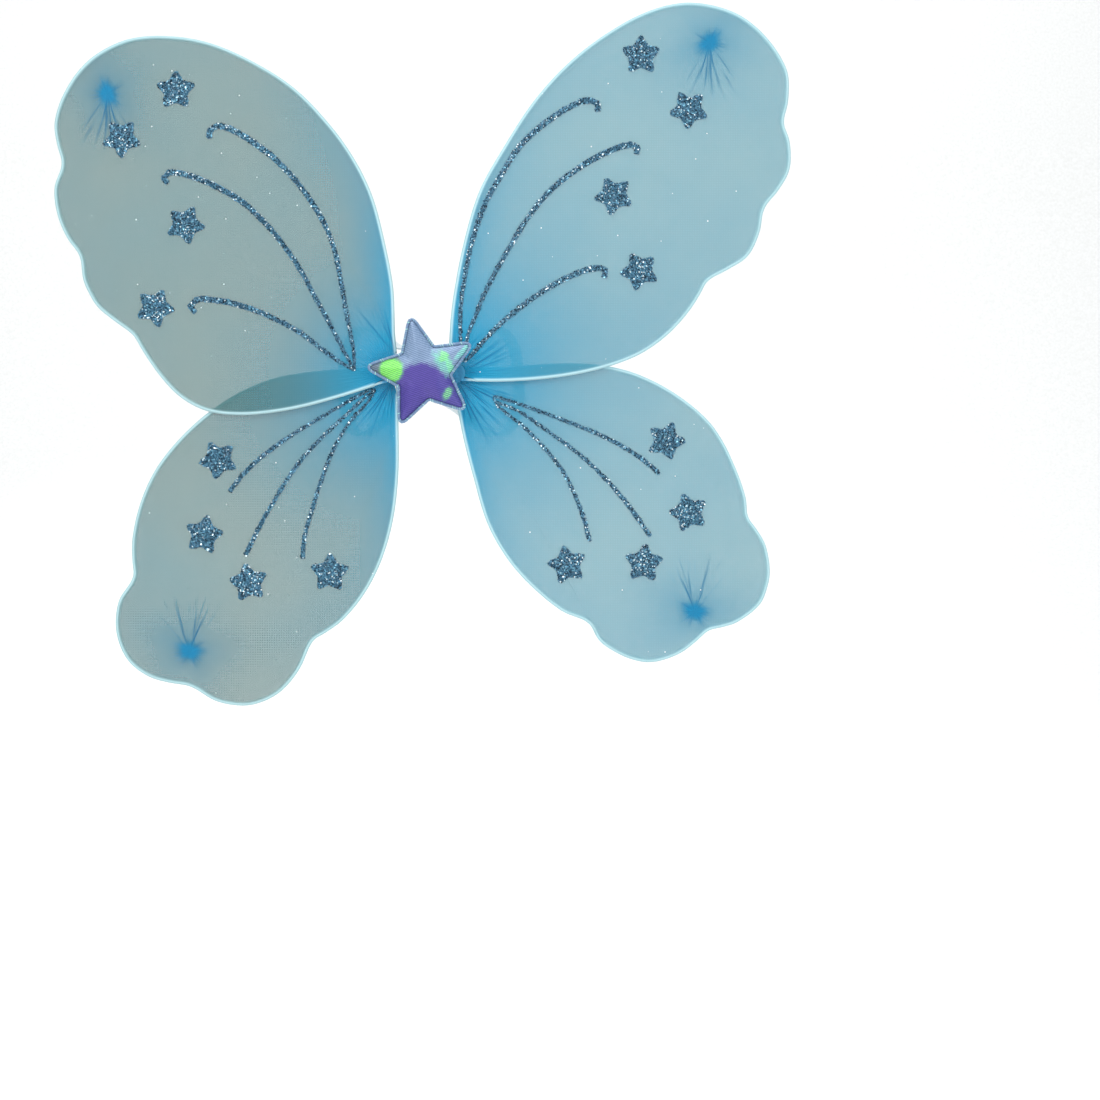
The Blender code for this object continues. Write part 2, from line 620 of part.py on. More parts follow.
UPPER_SCALE = UPPER_WING_REACH / drawn_reach(UPPER_LEFT_LOBES, UPPER_RIGHT_LOBES)
LOWER_SCALE = LOWER_WING_REACH / drawn_reach(LOWER_LEFT_LOBES, LOWER_RIGHT_LOBES)

left_root = make_root("left", -1)
right_root = make_root("right", 1)
make_wing(
    "upper_left", -1, True, UPPER_LEFT_LOBES, UPPER_LEFT_STARS, UPPER_LEFT_VEINS,
    UPPER_LEFT_KNOT, left_root, UPPER_SCALE,
)
make_wing(
    "upper_right", 1, True, UPPER_RIGHT_LOBES, UPPER_RIGHT_STARS, UPPER_RIGHT_VEINS,
    UPPER_RIGHT_KNOT, right_root, UPPER_SCALE,
)
make_wing(
    "lower_left", -1, False, LOWER_LEFT_LOBES, LOWER_LEFT_STARS, LOWER_LEFT_VEINS,
    LOWER_LEFT_KNOT, left_root, LOWER_SCALE,
)
make_wing(
    "lower_right", 1, False, LOWER_RIGHT_LOBES, LOWER_RIGHT_STARS, LOWER_RIGHT_VEINS,
    LOWER_RIGHT_KNOT, right_root, LOWER_SCALE,
)
make_pad_and_binding()
make_star()
make_strap("left", -1)
make_strap("right", 1)
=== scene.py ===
"""A child's fairy wings: stretched nylon on coated wire, glitter, a stuffed film star, tape and elastic.

Metres, +Z up. The wearer faces +Y, so the star faces -Y and the wearer's left is -X. Sizes and places come
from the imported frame. Each wing is worked out in its own plane: first how far outward from its hinge, then
how far up. A depth is measured along Y from the wing's plane, and a negative one lies on the star's side.
"""

from __future__ import annotations

import json
import logging
import math
from dataclasses import dataclass, field
from enum import Enum
from functools import cache
from typing import Any, Sequence

import bpy
import numpy as np
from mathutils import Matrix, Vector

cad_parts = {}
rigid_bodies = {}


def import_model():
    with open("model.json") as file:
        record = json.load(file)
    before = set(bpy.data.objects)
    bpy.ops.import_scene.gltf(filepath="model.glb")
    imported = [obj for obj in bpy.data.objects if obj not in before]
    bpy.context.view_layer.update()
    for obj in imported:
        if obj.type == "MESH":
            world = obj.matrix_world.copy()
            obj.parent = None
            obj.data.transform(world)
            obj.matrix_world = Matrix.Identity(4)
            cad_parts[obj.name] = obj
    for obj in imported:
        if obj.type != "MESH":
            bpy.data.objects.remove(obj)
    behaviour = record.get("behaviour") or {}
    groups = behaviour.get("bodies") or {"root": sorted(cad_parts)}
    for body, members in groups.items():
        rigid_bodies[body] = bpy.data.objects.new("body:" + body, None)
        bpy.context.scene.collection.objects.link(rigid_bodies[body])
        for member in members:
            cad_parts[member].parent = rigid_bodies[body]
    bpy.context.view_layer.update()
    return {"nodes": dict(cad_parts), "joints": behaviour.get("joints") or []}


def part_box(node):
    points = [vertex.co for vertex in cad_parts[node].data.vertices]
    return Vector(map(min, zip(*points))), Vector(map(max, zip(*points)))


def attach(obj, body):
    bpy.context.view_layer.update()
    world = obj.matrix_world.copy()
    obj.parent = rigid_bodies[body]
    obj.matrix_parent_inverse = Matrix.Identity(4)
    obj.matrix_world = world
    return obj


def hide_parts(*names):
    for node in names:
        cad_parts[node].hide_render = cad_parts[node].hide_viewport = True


for leftover in list(bpy.data.objects):
    bpy.data.objects.remove(leftover)
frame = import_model()

MM = 0.001
WELD = 1e-6
MIX_FACTOR, MIX_A, MIX_B, MIX_RESULT = 0, 6, 7, 2
LOG = logging.getLogger("fairy_wings")

Colour = tuple[float, float, float, float]
Faces = list[list[int]]
Skin = tuple[np.ndarray, Faces]


# ---------------------------------------------------------------- lines
def unit(vectors: np.ndarray) -> np.ndarray:
    """Vectors scaled to length one."""
    return vectors / np.maximum(np.linalg.norm(vectors, axis=-1, keepdims=True), 1e-12)


def resample(line: np.ndarray, count: int, closed: bool = False) -> np.ndarray:
    """Points spread evenly along a line.

    Args:
        line: The line's points, one a row.
        count: How many points to give back.
        closed: Whether the line runs back to its first point, which then isn't repeated.

    Returns:
        The evenly spread points.
    """
    run = np.vstack([line, line[:1]]) if closed else line
    walked = np.concatenate([[0.0], np.cumsum(np.linalg.norm(np.diff(run, axis=0), axis=1))])
    stops = np.linspace(0.0, walked[-1], count, endpoint=not closed)
    return np.stack([np.interp(stops, walked, run[:, axis]) for axis in range(run.shape[1])], axis=1)


def smooth_line(line: np.ndarray, spacing: float, closed: bool = False) -> np.ndarray:
    """A smooth curve through the points of a line, as evenly spread points.

    Args:
        line: The points that the curve passes through.
        spacing: The distance between the points given back.
        closed: Whether the curve is a loop.

    Returns:
        Points on a centripetal Catmull-Rom curve.
    """
    ends = (line[-1:], line[:2]) if closed else (2 * line[:1] - line[1:2], 2 * line[-1:] - line[-2:-1])
    run = np.vstack([ends[0], line, ends[1]])
    made = []
    for a, b, c, d in zip(run, run[1:], run[2:], run[3:]):
        t1 = max(np.linalg.norm(b - a), 1e-9) ** 0.5
        t2 = t1 + max(np.linalg.norm(c - b), 1e-9) ** 0.5
        t3 = t2 + max(np.linalg.norm(d - c), 1e-9) ** 0.5
        t = np.linspace(t1, t2, 12, endpoint=False)[:, None]
        ab = a + (b - a) * t / t1
        bc = b + (c - b) * (t - t1) / (t2 - t1)
        cd = c + (d - c) * (t - t2) / (t3 - t2)
        first, second = ab + (bc - ab) * t / t2, bc + (cd - bc) * (t - t1) / (t3 - t1)
        made.append(first + (second - first) * (t - t1) / (t2 - t1))
    made = np.vstack(made if closed else [*made, line[-1:]])
    length = np.linalg.norm(np.diff(made, axis=0), axis=1).sum()
    return resample(made, max(4, round(length / spacing)), closed)


def side_normals(line: np.ndarray, closed: bool = False) -> np.ndarray:
    """The unit normals on the left-hand side of a flat line, as seen walking along it.

    Args:
        line: The line's points.
        closed: Whether the line is a loop.

    Returns:
        One normal for each point.
    """
    along = np.roll(line, -1, 0) - np.roll(line, 1, 0) if closed else np.gradient(line, axis=0)
    along = unit(along)
    return np.stack([-along[:, 1], along[:, 0]], axis=1)


def signed_area(outline: np.ndarray) -> float:
    """The area inside a flat outline, positive where it runs counterclockwise."""
    following = np.roll(outline, -1, 0)
    return 0.5 * float((outline[:, 0] * following[:, 1] - outline[:, 1] * following[:, 0]).sum())


def loop_length(outline: np.ndarray) -> float:
    """The length of a closed line."""
    return float(np.linalg.norm(outline - np.roll(outline, -1, 0), axis=1).sum())


def outer_normals(outline: np.ndarray) -> np.ndarray:
    """The unit normals that point out of a closed flat outline."""
    return side_normals(outline, closed=True) * -np.sign(signed_area(outline))


def grown(outline: np.ndarray, distance: float) -> np.ndarray:
    """A closed flat outline moved outward by a distance, or inward where it is negative."""
    return outline + outer_normals(outline) * distance


def calmed(loop: np.ndarray, times: int = 1) -> np.ndarray:
    """A closed run of points or values, evened out.

    Args:
        loop: The points or values, in order round the loop.
        times: How many times each is averaged with its two neighbours.

    Returns:
        As many points or values.
    """
    for _ in range(times):
        loop = (np.roll(loop, 1, 0) + loop + np.roll(loop, -1, 0)) / 3
    return loop


def distance_to(points: np.ndarray, line: np.ndarray, closed: bool = False) -> np.ndarray:
    """How far each flat point lies from a line's nearest stretch.

    Args:
        points: The points asked about, one a row.
        line: The line's points.
        closed: Whether the line is a loop.

    Returns:
        One distance for each point.
    """
    start = line if closed else line[:-1]
    step = (np.roll(line, -1, 0) - line) if closed else np.diff(line, axis=0)
    squared = np.maximum((step**2).sum(1), 1e-18)
    found = []
    for some in np.array_split(points, max(1, len(points) // 3000)):
        offset = some[:, None] - start
        share = np.clip((offset * step).sum(2) / squared, 0.0, 1.0)
        found.append(np.linalg.norm(offset - step * share[..., None], axis=2).min(1))
    return np.concatenate(found)


def inside(points: np.ndarray, outline: np.ndarray) -> np.ndarray:
    """Which flat points lie within a closed outline.

    Args:
        points: The points asked about, one a row.
        outline: The outline's points.

    Returns:
        True or False for each point.
    """
    following = np.roll(outline, -1, 0)
    x, z = points[:, :1], points[:, 1:]
    spans = (outline[:, 1] > z) != (following[:, 1] > z)
    rise = np.where(following[:, 1] == outline[:, 1], 1e-12, following[:, 1] - outline[:, 1])
    crossing = outline[:, 0] + (following[:, 0] - outline[:, 0]) * (z - outline[:, 1]) / rise
    return (spans & (x < crossing)).sum(1) % 2 == 1


def joint_place(child: str) -> np.ndarray:
    """Where the joint that carries a body stands."""
    return np.array(next(joint["pos_m"] for joint in frame["joints"] if joint["child"] == child))


def front_outline(node: str) -> np.ndarray:
    """The rim of a flat CAD piece's front face.

    Args:
        node: The CAD node's name.

    Returns:
        The rim's points in order, as x and z.
    """
    mesh = frame["nodes"][node].data
    points = np.array([vertex.co[:] for vertex in mesh.vertices])
    _, first, index = np.unique(
        np.round(points / WELD).astype(np.int64), axis=0, return_index=True, return_inverse=True
    )
    points, index = points[first], index.reshape(-1)
    corners = [[int(index[corner]) for corner in face.vertices] for face in mesh.polygons]
    front = points[:, 1].min() + 10 * WELD
    edges = {
        (face[i - 1], face[i])
        for face in corners
        if all(points[corner][1] < front for corner in face)
        for i in range(len(face))
    }
    after = dict(edge for edge in edges if edge[::-1] not in edges)
    loop = [min(after)]
    while after[loop[-1]] != loop[0]:
        loop.append(after[loop[-1]])
    return points[loop][:, [0, 2]]


# ---------------------------------------------------------------- meshes
def skin(rings: np.ndarray, closed: bool = False) -> Skin:
    """Quads over a run of rings. An open run gets a face over each end.

    Args:
        rings: Points by ring, then by place round the ring.
        closed: Whether the last ring joins the first.

    Returns:
        The points and the faces.
    """
    count, around = rings.shape[:2]
    faces = [
        [i * around + k, (i + 1) % count * around + k, (i + 1) % count * around + j, i * around + j]
        for i in range(count if closed else count - 1)
        for k, j in zip(range(around), [*range(1, around), 0])
    ]
    if not closed:
        faces += [list(range(around)), list(range(count * around - 1, (count - 1) * around - 1, -1))]
    return rings.reshape(-1, 3), faces


def tube(
    path: np.ndarray, radius: float, square_to: Sequence[float], sides: int, closed: bool = False
) -> Skin:
    """A round tube along a path.

    Args:
        path: The middle line's points.
        radius: The tube's radius.
        square_to: A direction that the path never runs along.
        sides: How many points go round it.
        closed: Whether the path is a loop.

    Returns:
        The points and the faces.
    """
    along = np.roll(path, -1, 0) - np.roll(path, 1, 0) if closed else np.gradient(path, axis=0)
    across = unit(np.cross(along, square_to))
    up = unit(np.cross(along, across))
    turn = np.linspace(0.0, 2 * math.pi, sides, endpoint=False)[:, None]
    rings = path[:, None] + radius * (np.cos(turn) * across[:, None] + np.sin(turn) * up[:, None])
    return skin(rings, closed)


def stamped(pattern: Skin, places: np.ndarray, turns: np.ndarray) -> Skin:
    """Copies of one small shape.

    Args:
        pattern: The shape's points and faces, round the origin.
        places: Where each copy goes.
        turns: A 3 by 3 matrix for each copy, whose columns are its own axes.

    Returns:
        The points and faces of all the copies.
    """
    points, faces = pattern
    made = np.einsum("nij,kj->nki", turns, points) + places[:, None]
    size = len(points)
    copied = [[corner + i * size for corner in face] for i in range(len(places)) for face in faces]
    return made.reshape(-1, 3), copied


def outward(points: np.ndarray, faces: Faces) -> Faces:
    """A closed shape's faces, turned round if they point in.

    Args:
        points: The shape's points.
        faces: Its faces.

    Returns:
        The faces, all pointing out.
    """
    corners = np.array([(face[0], face[i], face[i + 1]) for face in faces for i in range(1, len(face) - 1)])
    first, second, third = (points[corners[:, i]] for i in range(3))
    volume = np.einsum("ij,ij->i", first, np.cross(second, third))
    return faces if volume.sum() > 0 else [face[::-1] for face in faces]


@dataclass
class Shape:
    """Closed shapes gathered into one piece, with named values at its points."""

    points: list[np.ndarray] = field(default_factory=list)
    faces: Faces = field(default_factory=list)
    finishes: list[int] = field(default_factory=list)
    smooth: list[bool] = field(default_factory=list)
    values: dict[str, dict[int, np.ndarray]] = field(default_factory=dict)
    count: int = 0

    def add(self, part: Skin, finish: int = 0, smooth: bool = True, **values: Any) -> None:
        """Adds one closed shape.

        Args:
            part: Its points and faces.
            finish: Which of the piece's materials it has.
            smooth: Whether it is shaded smooth.
            values: A number, or one for each point, under the name that the material reads.
        """
        points, faces = part
        faces = outward(points, faces)
        self.faces += [[corner + self.count for corner in face] for face in faces]
        self.finishes += [finish] * len(faces)
        self.smooth += [smooth] * len(faces)
        for name, value in values.items():
            spread = np.broadcast_to(np.asarray(value, np.float32).reshape(-1), (len(points),))
            self.values.setdefault(name, {})[self.count] = spread
        self.points.append(points)
        self.count += len(points)

    def build(self, name: str) -> bpy.types.Object:
        """Makes the mesh object, at the origin.

        Args:
            name: The piece's name.

        Returns:
            The finished object.
        """
        mesh = bpy.data.meshes.new(name)
        mesh.from_pydata(np.vstack(self.points).tolist(), [], self.faces)
        mesh.polygons.foreach_set("use_smooth", self.smooth)
        mesh.polygons.foreach_set("material_index", self.finishes)
        for label, parts in self.values.items():
            whole = np.zeros(self.count, np.float32)
            for start, value in parts.items():
                whole[start : start + len(value)] = value
            mesh.attributes.new(label, "FLOAT", "POINT").data.foreach_set("value", whole)
        mesh.update()
        obj = bpy.data.objects.new(name, mesh)
        bpy.context.scene.collection.objects.link(obj)
        return obj


def deselect_all() -> None:
    """Leaves nothing selected, so that an operator acts on its own object only."""
    for obj in list(bpy.context.selected_objects):
        obj.select_set(False)


def select_only(obj: bpy.types.Object) -> None:
    """Makes one object the only one selected, and the active one."""
    deselect_all()
    obj.select_set(True)
    bpy.context.view_layer.objects.active = obj


def picked_up(obj: bpy.types.Object) -> Skin:
    """An object's finished mesh, with its modifiers applied and the object removed.

    Args:
        obj: The object.

    Returns:
        Its points and faces.
    """
    select_only(obj)
    bpy.ops.object.transform_apply(location=True, rotation=True, scale=True)
    for modifier in list(obj.modifiers):
        bpy.ops.object.modifier_apply(modifier=modifier.name)
    points = np.array([vertex.co[:] for vertex in obj.data.vertices])
    faces = [list(face.vertices) for face in obj.data.polygons]
    bpy.data.objects.remove(obj)
    return points, faces


def rounded(obj: bpy.types.Object, width: float, segments: int = 3) -> bpy.types.Object:
    """Puts a bevel on a primitive's edges.

    Args:
        obj: The primitive.
        width: How wide the rounding is.
        segments: How many faces go across it.

    Returns:
        The same primitive.
    """
    select_only(obj)
    bpy.ops.object.transform_apply(location=False, rotation=False, scale=True)
    bevel = obj.modifiers.new("Rounded edges", "BEVEL")
    bevel.width = width
    bevel.segments = segments
    return obj


def disc_along_y(
    radius: float, thickness: float, middle: Sequence[float], sides: int = 48
) -> bpy.types.Object:
    """A primitive disc or rod whose axis lies along Y.

    Args:
        radius: Its radius.
        thickness: Its size along Y.
        middle: Its middle.
        sides: How many sides it has.

    Returns:
        The new object.
    """
    deselect_all()
    bpy.ops.mesh.primitive_cylinder_add(
        vertices=sides, radius=radius, depth=thickness, location=middle, rotation=(math.pi / 2, 0, 0)
    )
    return bpy.context.object


def flake_pattern(radius: float, thickness: float) -> Skin:
    """A six-sided glitter flake lying in the X-Y plane, as points and faces."""
    deselect_all()
    bpy.ops.mesh.primitive_cylinder_add(vertices=6, radius=radius, depth=thickness)
    return picked_up(bpy.context.object)


def thread_ring(radius: float, thread: float, segments: int = 14, sides: int = 6) -> Skin:
    """One turn of thread round the Z axis.

    Args:
        radius: The radius of the turn.
        thread: The radius of the thread.
        segments: How many rings it has.
        sides: How many points go round each.

    Returns:
        The points and the faces.
    """
    deselect_all()
    bpy.ops.mesh.primitive_torus_add(
        major_segments=segments, minor_segments=sides, major_radius=radius, minor_radius=thread
    )
    return picked_up(bpy.context.object)


# ---------------------------------------------------------------- nodes
def rgb(value: int) -> Colour:
    """An sRGB hex number as linear red, green, blue and alpha."""
    parts = [((value >> shift) & 255) / 255 for shift in (16, 8, 0)]
    return tuple(c / 12.92 if c <= 0.04045 else ((c + 0.055) / 1.055) ** 2.4 for c in parts) + (1.0,)


def per_metre(size_mm: float) -> float:
    """The texture scale whose features are this many millimetres across."""
    return 1.0 / (size_mm * MM)


def band_scale(pitch_mm: float) -> float:
    """The wave texture's scale whose bands are this many millimetres apart."""
    return math.pi / (10.0 * pitch_mm * MM)


def add_node(
    tree: bpy.types.NodeTree,
    kind: str,
    settings: dict[str, Any] | None = None,
    inputs: dict[str | int, Any] | None = None,
) -> bpy.types.Node:
    """Adds a node with its settings and links.

    Args:
        tree: The material's node tree.
        kind: The node's type name.
        settings: Its properties by name. "stops" gives a colour ramp's places and hex colours.
        inputs: For each input, a socket to link from or a constant.

    Returns:
        The new node.
    """
    node = tree.nodes.new(kind)
    for name, value in (settings or {}).items():
        if name != "stops":
            setattr(node, name, value)
            continue
        stops = node.color_ramp.elements
        while len(stops) < len(value):
            stops.new(1.0)
        for stop, (place, colour) in zip(stops, value):
            stop.position, stop.color = place, rgb(colour)
    for name, value in (inputs or {}).items():
        if isinstance(value, bpy.types.NodeSocket):
            tree.links.new(value, node.inputs[name])
        else:
            node.inputs[name].default_value = value
    return node


# ---------------------------------------------------------------- finishes
@dataclass(frozen=True)
class Finish:
    """A material's name, its main colour and how rough it is."""

    name: str
    colour: int
    roughness: float

    @cache
    def material(self) -> bpy.types.Material:
        """The Blender material, made once."""
        made = bpy.data.materials.new(self.name)
        made.use_nodes = True
        tree = made.node_tree
        shader = tree.nodes["Principled BSDF"]
        shader.inputs["Base Color"].default_value = rgb(self.colour)
        shader.inputs["Roughness"].default_value = self.roughness
        made.diffuse_color = rgb(self.colour)
        self.dress(tree, shader, add_node(tree, "ShaderNodeTexCoord").outputs["Object"])
        return made

    def dress(self, tree: bpy.types.NodeTree, shader: bpy.types.Node, place: bpy.types.NodeSocket) -> None:
        """Adds the finish's own nodes.

        Args:
            tree: The material's node tree.
            shader: Its Principled shader.
            place: The Object coordinates.
        """


def mottled(
    tree: bpy.types.NodeTree, place: bpy.types.NodeSocket, size_mm: float, colours: Sequence[int],
    detail: float = 3.0,
) -> tuple[bpy.types.NodeSocket, bpy.types.NodeSocket]:
    """Noise of one size, spread over a run of colours.

    Args:
        tree: The material's node tree.
        place: The coordinates it reads.
        size_mm: How far apart its patches lie.
        colours: Hex colours from its low places to its high ones.
        detail: How many finer layers it has.

    Returns:
        The colour and the noise's own value.
    """
    noise = add_node(
        tree, "ShaderNodeTexNoise", inputs={"Vector": place, "Scale": per_metre(size_mm), "Detail": detail}
    )
    last = len(colours) - 1
    stops = [(0.3 + 0.4 * i / last, colour) for i, colour in enumerate(colours)]
    ramp = add_node(tree, "ShaderNodeValToRGB", {"stops": stops}, {"Fac": noise.outputs[0]})
    return ramp.outputs["Color"], noise.outputs[0]


def raised(
    tree: bpy.types.NodeTree, shader: bpy.types.Node, height: bpy.types.NodeSocket, depth_mm: float,
    strength: float,
) -> None:
    """Links a height to the shader's normal.

    Args:
        tree: The material's node tree.
        shader: Its Principled shader.
        height: The pattern that is raised.
        depth_mm: How far it stands up.
        strength: The share of it that shows, 0 to 1.
    """
    bump = add_node(
        tree, "ShaderNodeBump", inputs={"Height": height, "Distance": depth_mm * MM, "Strength": strength}
    )
    tree.links.new(bump.outputs["Normal"], shader.inputs["Normal"])


@dataclass(frozen=True)
class CoatedWire(Finish):
    """Steel wire dipped in pale enamel: smooth, lightly glossy, a little uneven where the coat ran."""

    shade: int = 0xA9D2DB
    wound: int = 0x2FA3D2
    run_mm: float = 9.0

    def dress(self, tree: bpy.types.NodeTree, shader: bpy.types.Node, place: bpy.types.NodeSocket) -> None:
        """Adds the uneven coat, and the blue tape wound round the wire's eye.

        Args:
            tree: The material's node tree.
            shader: Its Principled shader.
            place: The Object coordinates.
        """
        colour, noise = mottled(tree, place, self.run_mm, (self.shade, self.colour))
        eye = add_node(tree, "ShaderNodeAttribute", {"attribute_name": "eye"}).outputs["Fac"]
        colour = add_node(
            tree, "ShaderNodeMix", {"data_type": "RGBA"},
            {MIX_FACTOR: eye, MIX_A: colour, MIX_B: rgb(self.wound)},
        ).outputs[MIX_RESULT]
        tree.links.new(colour, shader.inputs["Base Color"])
        shader.inputs["Coat Weight"].default_value = 0.35
        raised(tree, shader, noise, 0.08, 0.5)


@dataclass(frozen=True)
class CreaseFan:
    """Fine folds that spread from one place on the nylon: bunched nylon, drawn darker as painted shade.

    The place is in the wing's own plane, in millimetres; the angles are in degrees, with outward as 0.
    """

    out: float
    up: float
    aim: float
    half_spread: float
    near: float
    far: float
    pitch: float
    strength: float = 1.0


@dataclass(frozen=True)
class StretchedNylon(Finish):
    """Stocking nylon pulled thin over a frame: a sheer knit, clear where stretched and dense where gathered.

    The knit's own loops are 0.3 mm and wouldn't show, so it is drawn several times coarser and very faint.
    """

    hinge: tuple[float, float]
    side: int
    fans: tuple[CreaseFan, ...]
    tint: int
    root_blue: int = 0x0C9FCB
    knot_blue: int = 0x0E86B4
    # The folds' deep blue: denser bunched nylon, and painted shade in the folds.
    fold_blue_and_shade: int = 0x086596
    edge_white: int = 0xC4E8EE
    sheer: float = 0.55
    patch_mm: float = 90.0
    knit_mm: float = 1.5
    speck_mm: float = 11.0
    fold_breaks: float = 28.0

    def dress(self, tree: bpy.types.NodeTree, shader: bpy.types.Node, place: bpy.types.NodeSocket) -> None:
        """Adds the tint, dye, folds, knit, specks and how far light passes.

        Args:
            tree: The material's node tree.
            shader: Its Principled shader.
            place: The Object coordinates.
        """
        own = add_node(
            tree, "ShaderNodeVectorMath", {"operation": "SUBTRACT"},
            {0: place, 1: (self.hinge[0], 0.0, self.hinge[1])},
        )
        own = add_node(
            tree, "ShaderNodeVectorMath", {"operation": "MULTIPLY"},
            {0: own.outputs[0], 1: (self.side, 0.0, 1.0)},
        )
        folds = self.folds(tree, own.outputs[0])
        specks = self.specks(tree, place)
        colour, _ = mottled(tree, place, self.patch_mm, (self.colour, self.tint))
        cover: bpy.types.NodeSocket | None = None
        layers = (
            ("dye", self.root_blue, 1.0, 0.3), ("knot", self.knot_blue, 1.0, 0.4),
            # Folds: denser nylon, darkened further as painted shade.
            (folds, self.fold_blue_and_shade, 0.95, 0.35), ("edge", self.edge_white, 0.9, 0.4),
            # Specks: real loose glitter, painted white as painted glints.
            (specks, 0xFFFFFF, 1.0, 0.6),
        )
        for source, tone, most, denser in layers:
            if isinstance(source, str):
                read = add_node(tree, "ShaderNodeAttribute", {"attribute_name": source})
                source = read.outputs["Fac"]
            share = add_node(
                tree, "ShaderNodeMath", {"operation": "MULTIPLY", "use_clamp": True}, {0: source, 1: most}
            ).outputs[0]
            mix = add_node(
                tree, "ShaderNodeMix", {"data_type": "RGBA"},
                {MIX_FACTOR: share, MIX_A: colour, MIX_B: rgb(tone)},
            )
            colour = mix.outputs[MIX_RESULT]
            cover = add_node(
                tree, "ShaderNodeMath", {"operation": "MULTIPLY_ADD", "use_clamp": True},
                {0: source, 1: denser, 2: cover if cover else self.sheer},
            ).outputs[0]
        knit = self.knit(tree, place)
        cover = add_node(
            tree, "ShaderNodeMath", {"operation": "MULTIPLY_ADD", "use_clamp": True},
            {0: knit, 1: 0.05, 2: cover},
        ).outputs[0]
        tree.links.new(colour, shader.inputs["Base Color"])
        tree.links.new(cover, shader.inputs["Alpha"])
        shader.inputs["Sheen Weight"].default_value = 0.2
        shader.inputs["Specular IOR Level"].default_value = 0.25
        height = add_node(tree, "ShaderNodeMath", {"operation": "MULTIPLY_ADD"}, {0: folds, 1: -3.0, 2: knit})
        raised(tree, shader, height.outputs[0], 0.12, 0.5)

    def folds(self, tree: bpy.types.NodeTree, own: bpy.types.NodeSocket) -> bpy.types.NodeSocket:
        """The dark lines of every crease fan, from 0 to 1: bunched nylon, with painted shade in each fold.

        Args:
            tree: The material's node tree.
            own: Coordinates in the wing's own plane.

        Returns:
            The lines' strength.
        """
        total: bpy.types.NodeSocket | None = None
        for fan in self.fans:
            arm = add_node(
                tree, "ShaderNodeVectorMath", {"operation": "SUBTRACT"},
                {0: own, 1: (fan.out * MM, 0.0, fan.up * MM)},
            ).outputs[0]
            reach = add_node(tree, "ShaderNodeVectorMath", {"operation": "LENGTH"}, {0: arm}).outputs["Value"]
            split = add_node(tree, "ShaderNodeSeparateXYZ", inputs={0: arm})
            angle = add_node(
                tree, "ShaderNodeMath", {"operation": "ARCTAN2"},
                {0: split.outputs["Z"], 1: split.outputs["X"]},
            ).outputs[0]
            lines = add_node(
                tree, "ShaderNodeCombineXYZ",
                inputs={
                    "X": add_node(
                        tree, "ShaderNodeMath", {"operation": "MULTIPLY"},
                        {0: angle, 1: math.degrees(1) / fan.pitch},
                    ).outputs[0],
                    "Y": add_node(
                        tree, "ShaderNodeMath", {"operation": "MULTIPLY"}, {0: reach, 1: self.fold_breaks}
                    ).outputs[0],
                },
            ).outputs[0]
            noise = add_node(
                tree, "ShaderNodeTexNoise", inputs={"Vector": lines, "Scale": 1.0, "Detail": 1.0}
            )
            line = add_node(
                tree, "ShaderNodeMapRange", {"interpolation_type": "SMOOTHSTEP"},
                {"Value": noise.outputs[0], "From Min": 0.5, "From Max": 0.66},
            ).outputs[0]
            fade = add_node(
                tree, "ShaderNodeMapRange", {"interpolation_type": "SMOOTHSTEP"},
                {
                    "Value": reach, "From Min": fan.near * MM, "From Max": fan.far * MM,
                    "To Min": 1.0, "To Max": 0.0,
                },
            ).outputs[0]
            swing = add_node(
                tree, "ShaderNodeMath", {"operation": "SUBTRACT"}, {0: angle, 1: math.radians(fan.aim)}
            ).outputs[0]
            facing = add_node(tree, "ShaderNodeMath", {"operation": "COSINE"}, {0: swing}).outputs[0]
            wedge = add_node(
                tree, "ShaderNodeMapRange", {"interpolation_type": "SMOOTHSTEP"},
                {
                    "Value": facing, "From Min": math.cos(math.radians(fan.half_spread + 10)),
                    "From Max": math.cos(math.radians(max(fan.half_spread - 10, 1))), "To Max": fan.strength,
                },
            ).outputs[0]
            shown = add_node(tree, "ShaderNodeMath", {"operation": "MULTIPLY"}, {0: line, 1: fade}).outputs[0]
            shown = add_node(
                tree, "ShaderNodeMath", {"operation": "MULTIPLY"}, {0: shown, 1: wedge}
            ).outputs[0]
            if total is None:
                total = shown
            else:
                total = add_node(
                    tree, "ShaderNodeMath", {"operation": "MAXIMUM"}, {0: total, 1: shown}
                ).outputs[0]
        return total

    def specks(self, tree: bpy.types.NodeTree, place: bpy.types.NodeSocket) -> bpy.types.NodeSocket:
        """Loose specks of glitter, each about half a millimetre across, all painted white as painted glints.

        Args:
            tree: The material's node tree.
            place: The Object coordinates.

        Returns:
            Their strength, from 0 to 1.
        """
        cells = add_node(
            tree, "ShaderNodeTexVoronoi", inputs={"Vector": place, "Scale": per_metre(self.speck_mm)}
        )
        return add_node(
            tree, "ShaderNodeMapRange",
            inputs={
                "Value": cells.outputs["Distance"], "From Min": 0.02, "From Max": 0.045,
                "To Min": 1.0, "To Max": 0.0,
            },
        ).outputs[0]

    def knit(self, tree: bpy.types.NodeTree, place: bpy.types.NodeSocket) -> bpy.types.NodeSocket:
        """The knit's faint rows and columns.

        Args:
            tree: The material's node tree.
            place: The Object coordinates.

        Returns:
            Their height, from 0 to 1.
        """
        waves = [
            add_node(
                tree, "ShaderNodeTexWave", {"bands_direction": way},
                {"Vector": place, "Scale": band_scale(self.knit_mm), "Distortion": 0.6, "Detail Scale": 4.0},
            ).outputs["Fac"]
            for way in ("X", "Z")
        ]
        return add_node(
            tree, "ShaderNodeMath", {"operation": "MULTIPLY"}, {0: waves[0], 1: waves[1]}
        ).outputs[0]


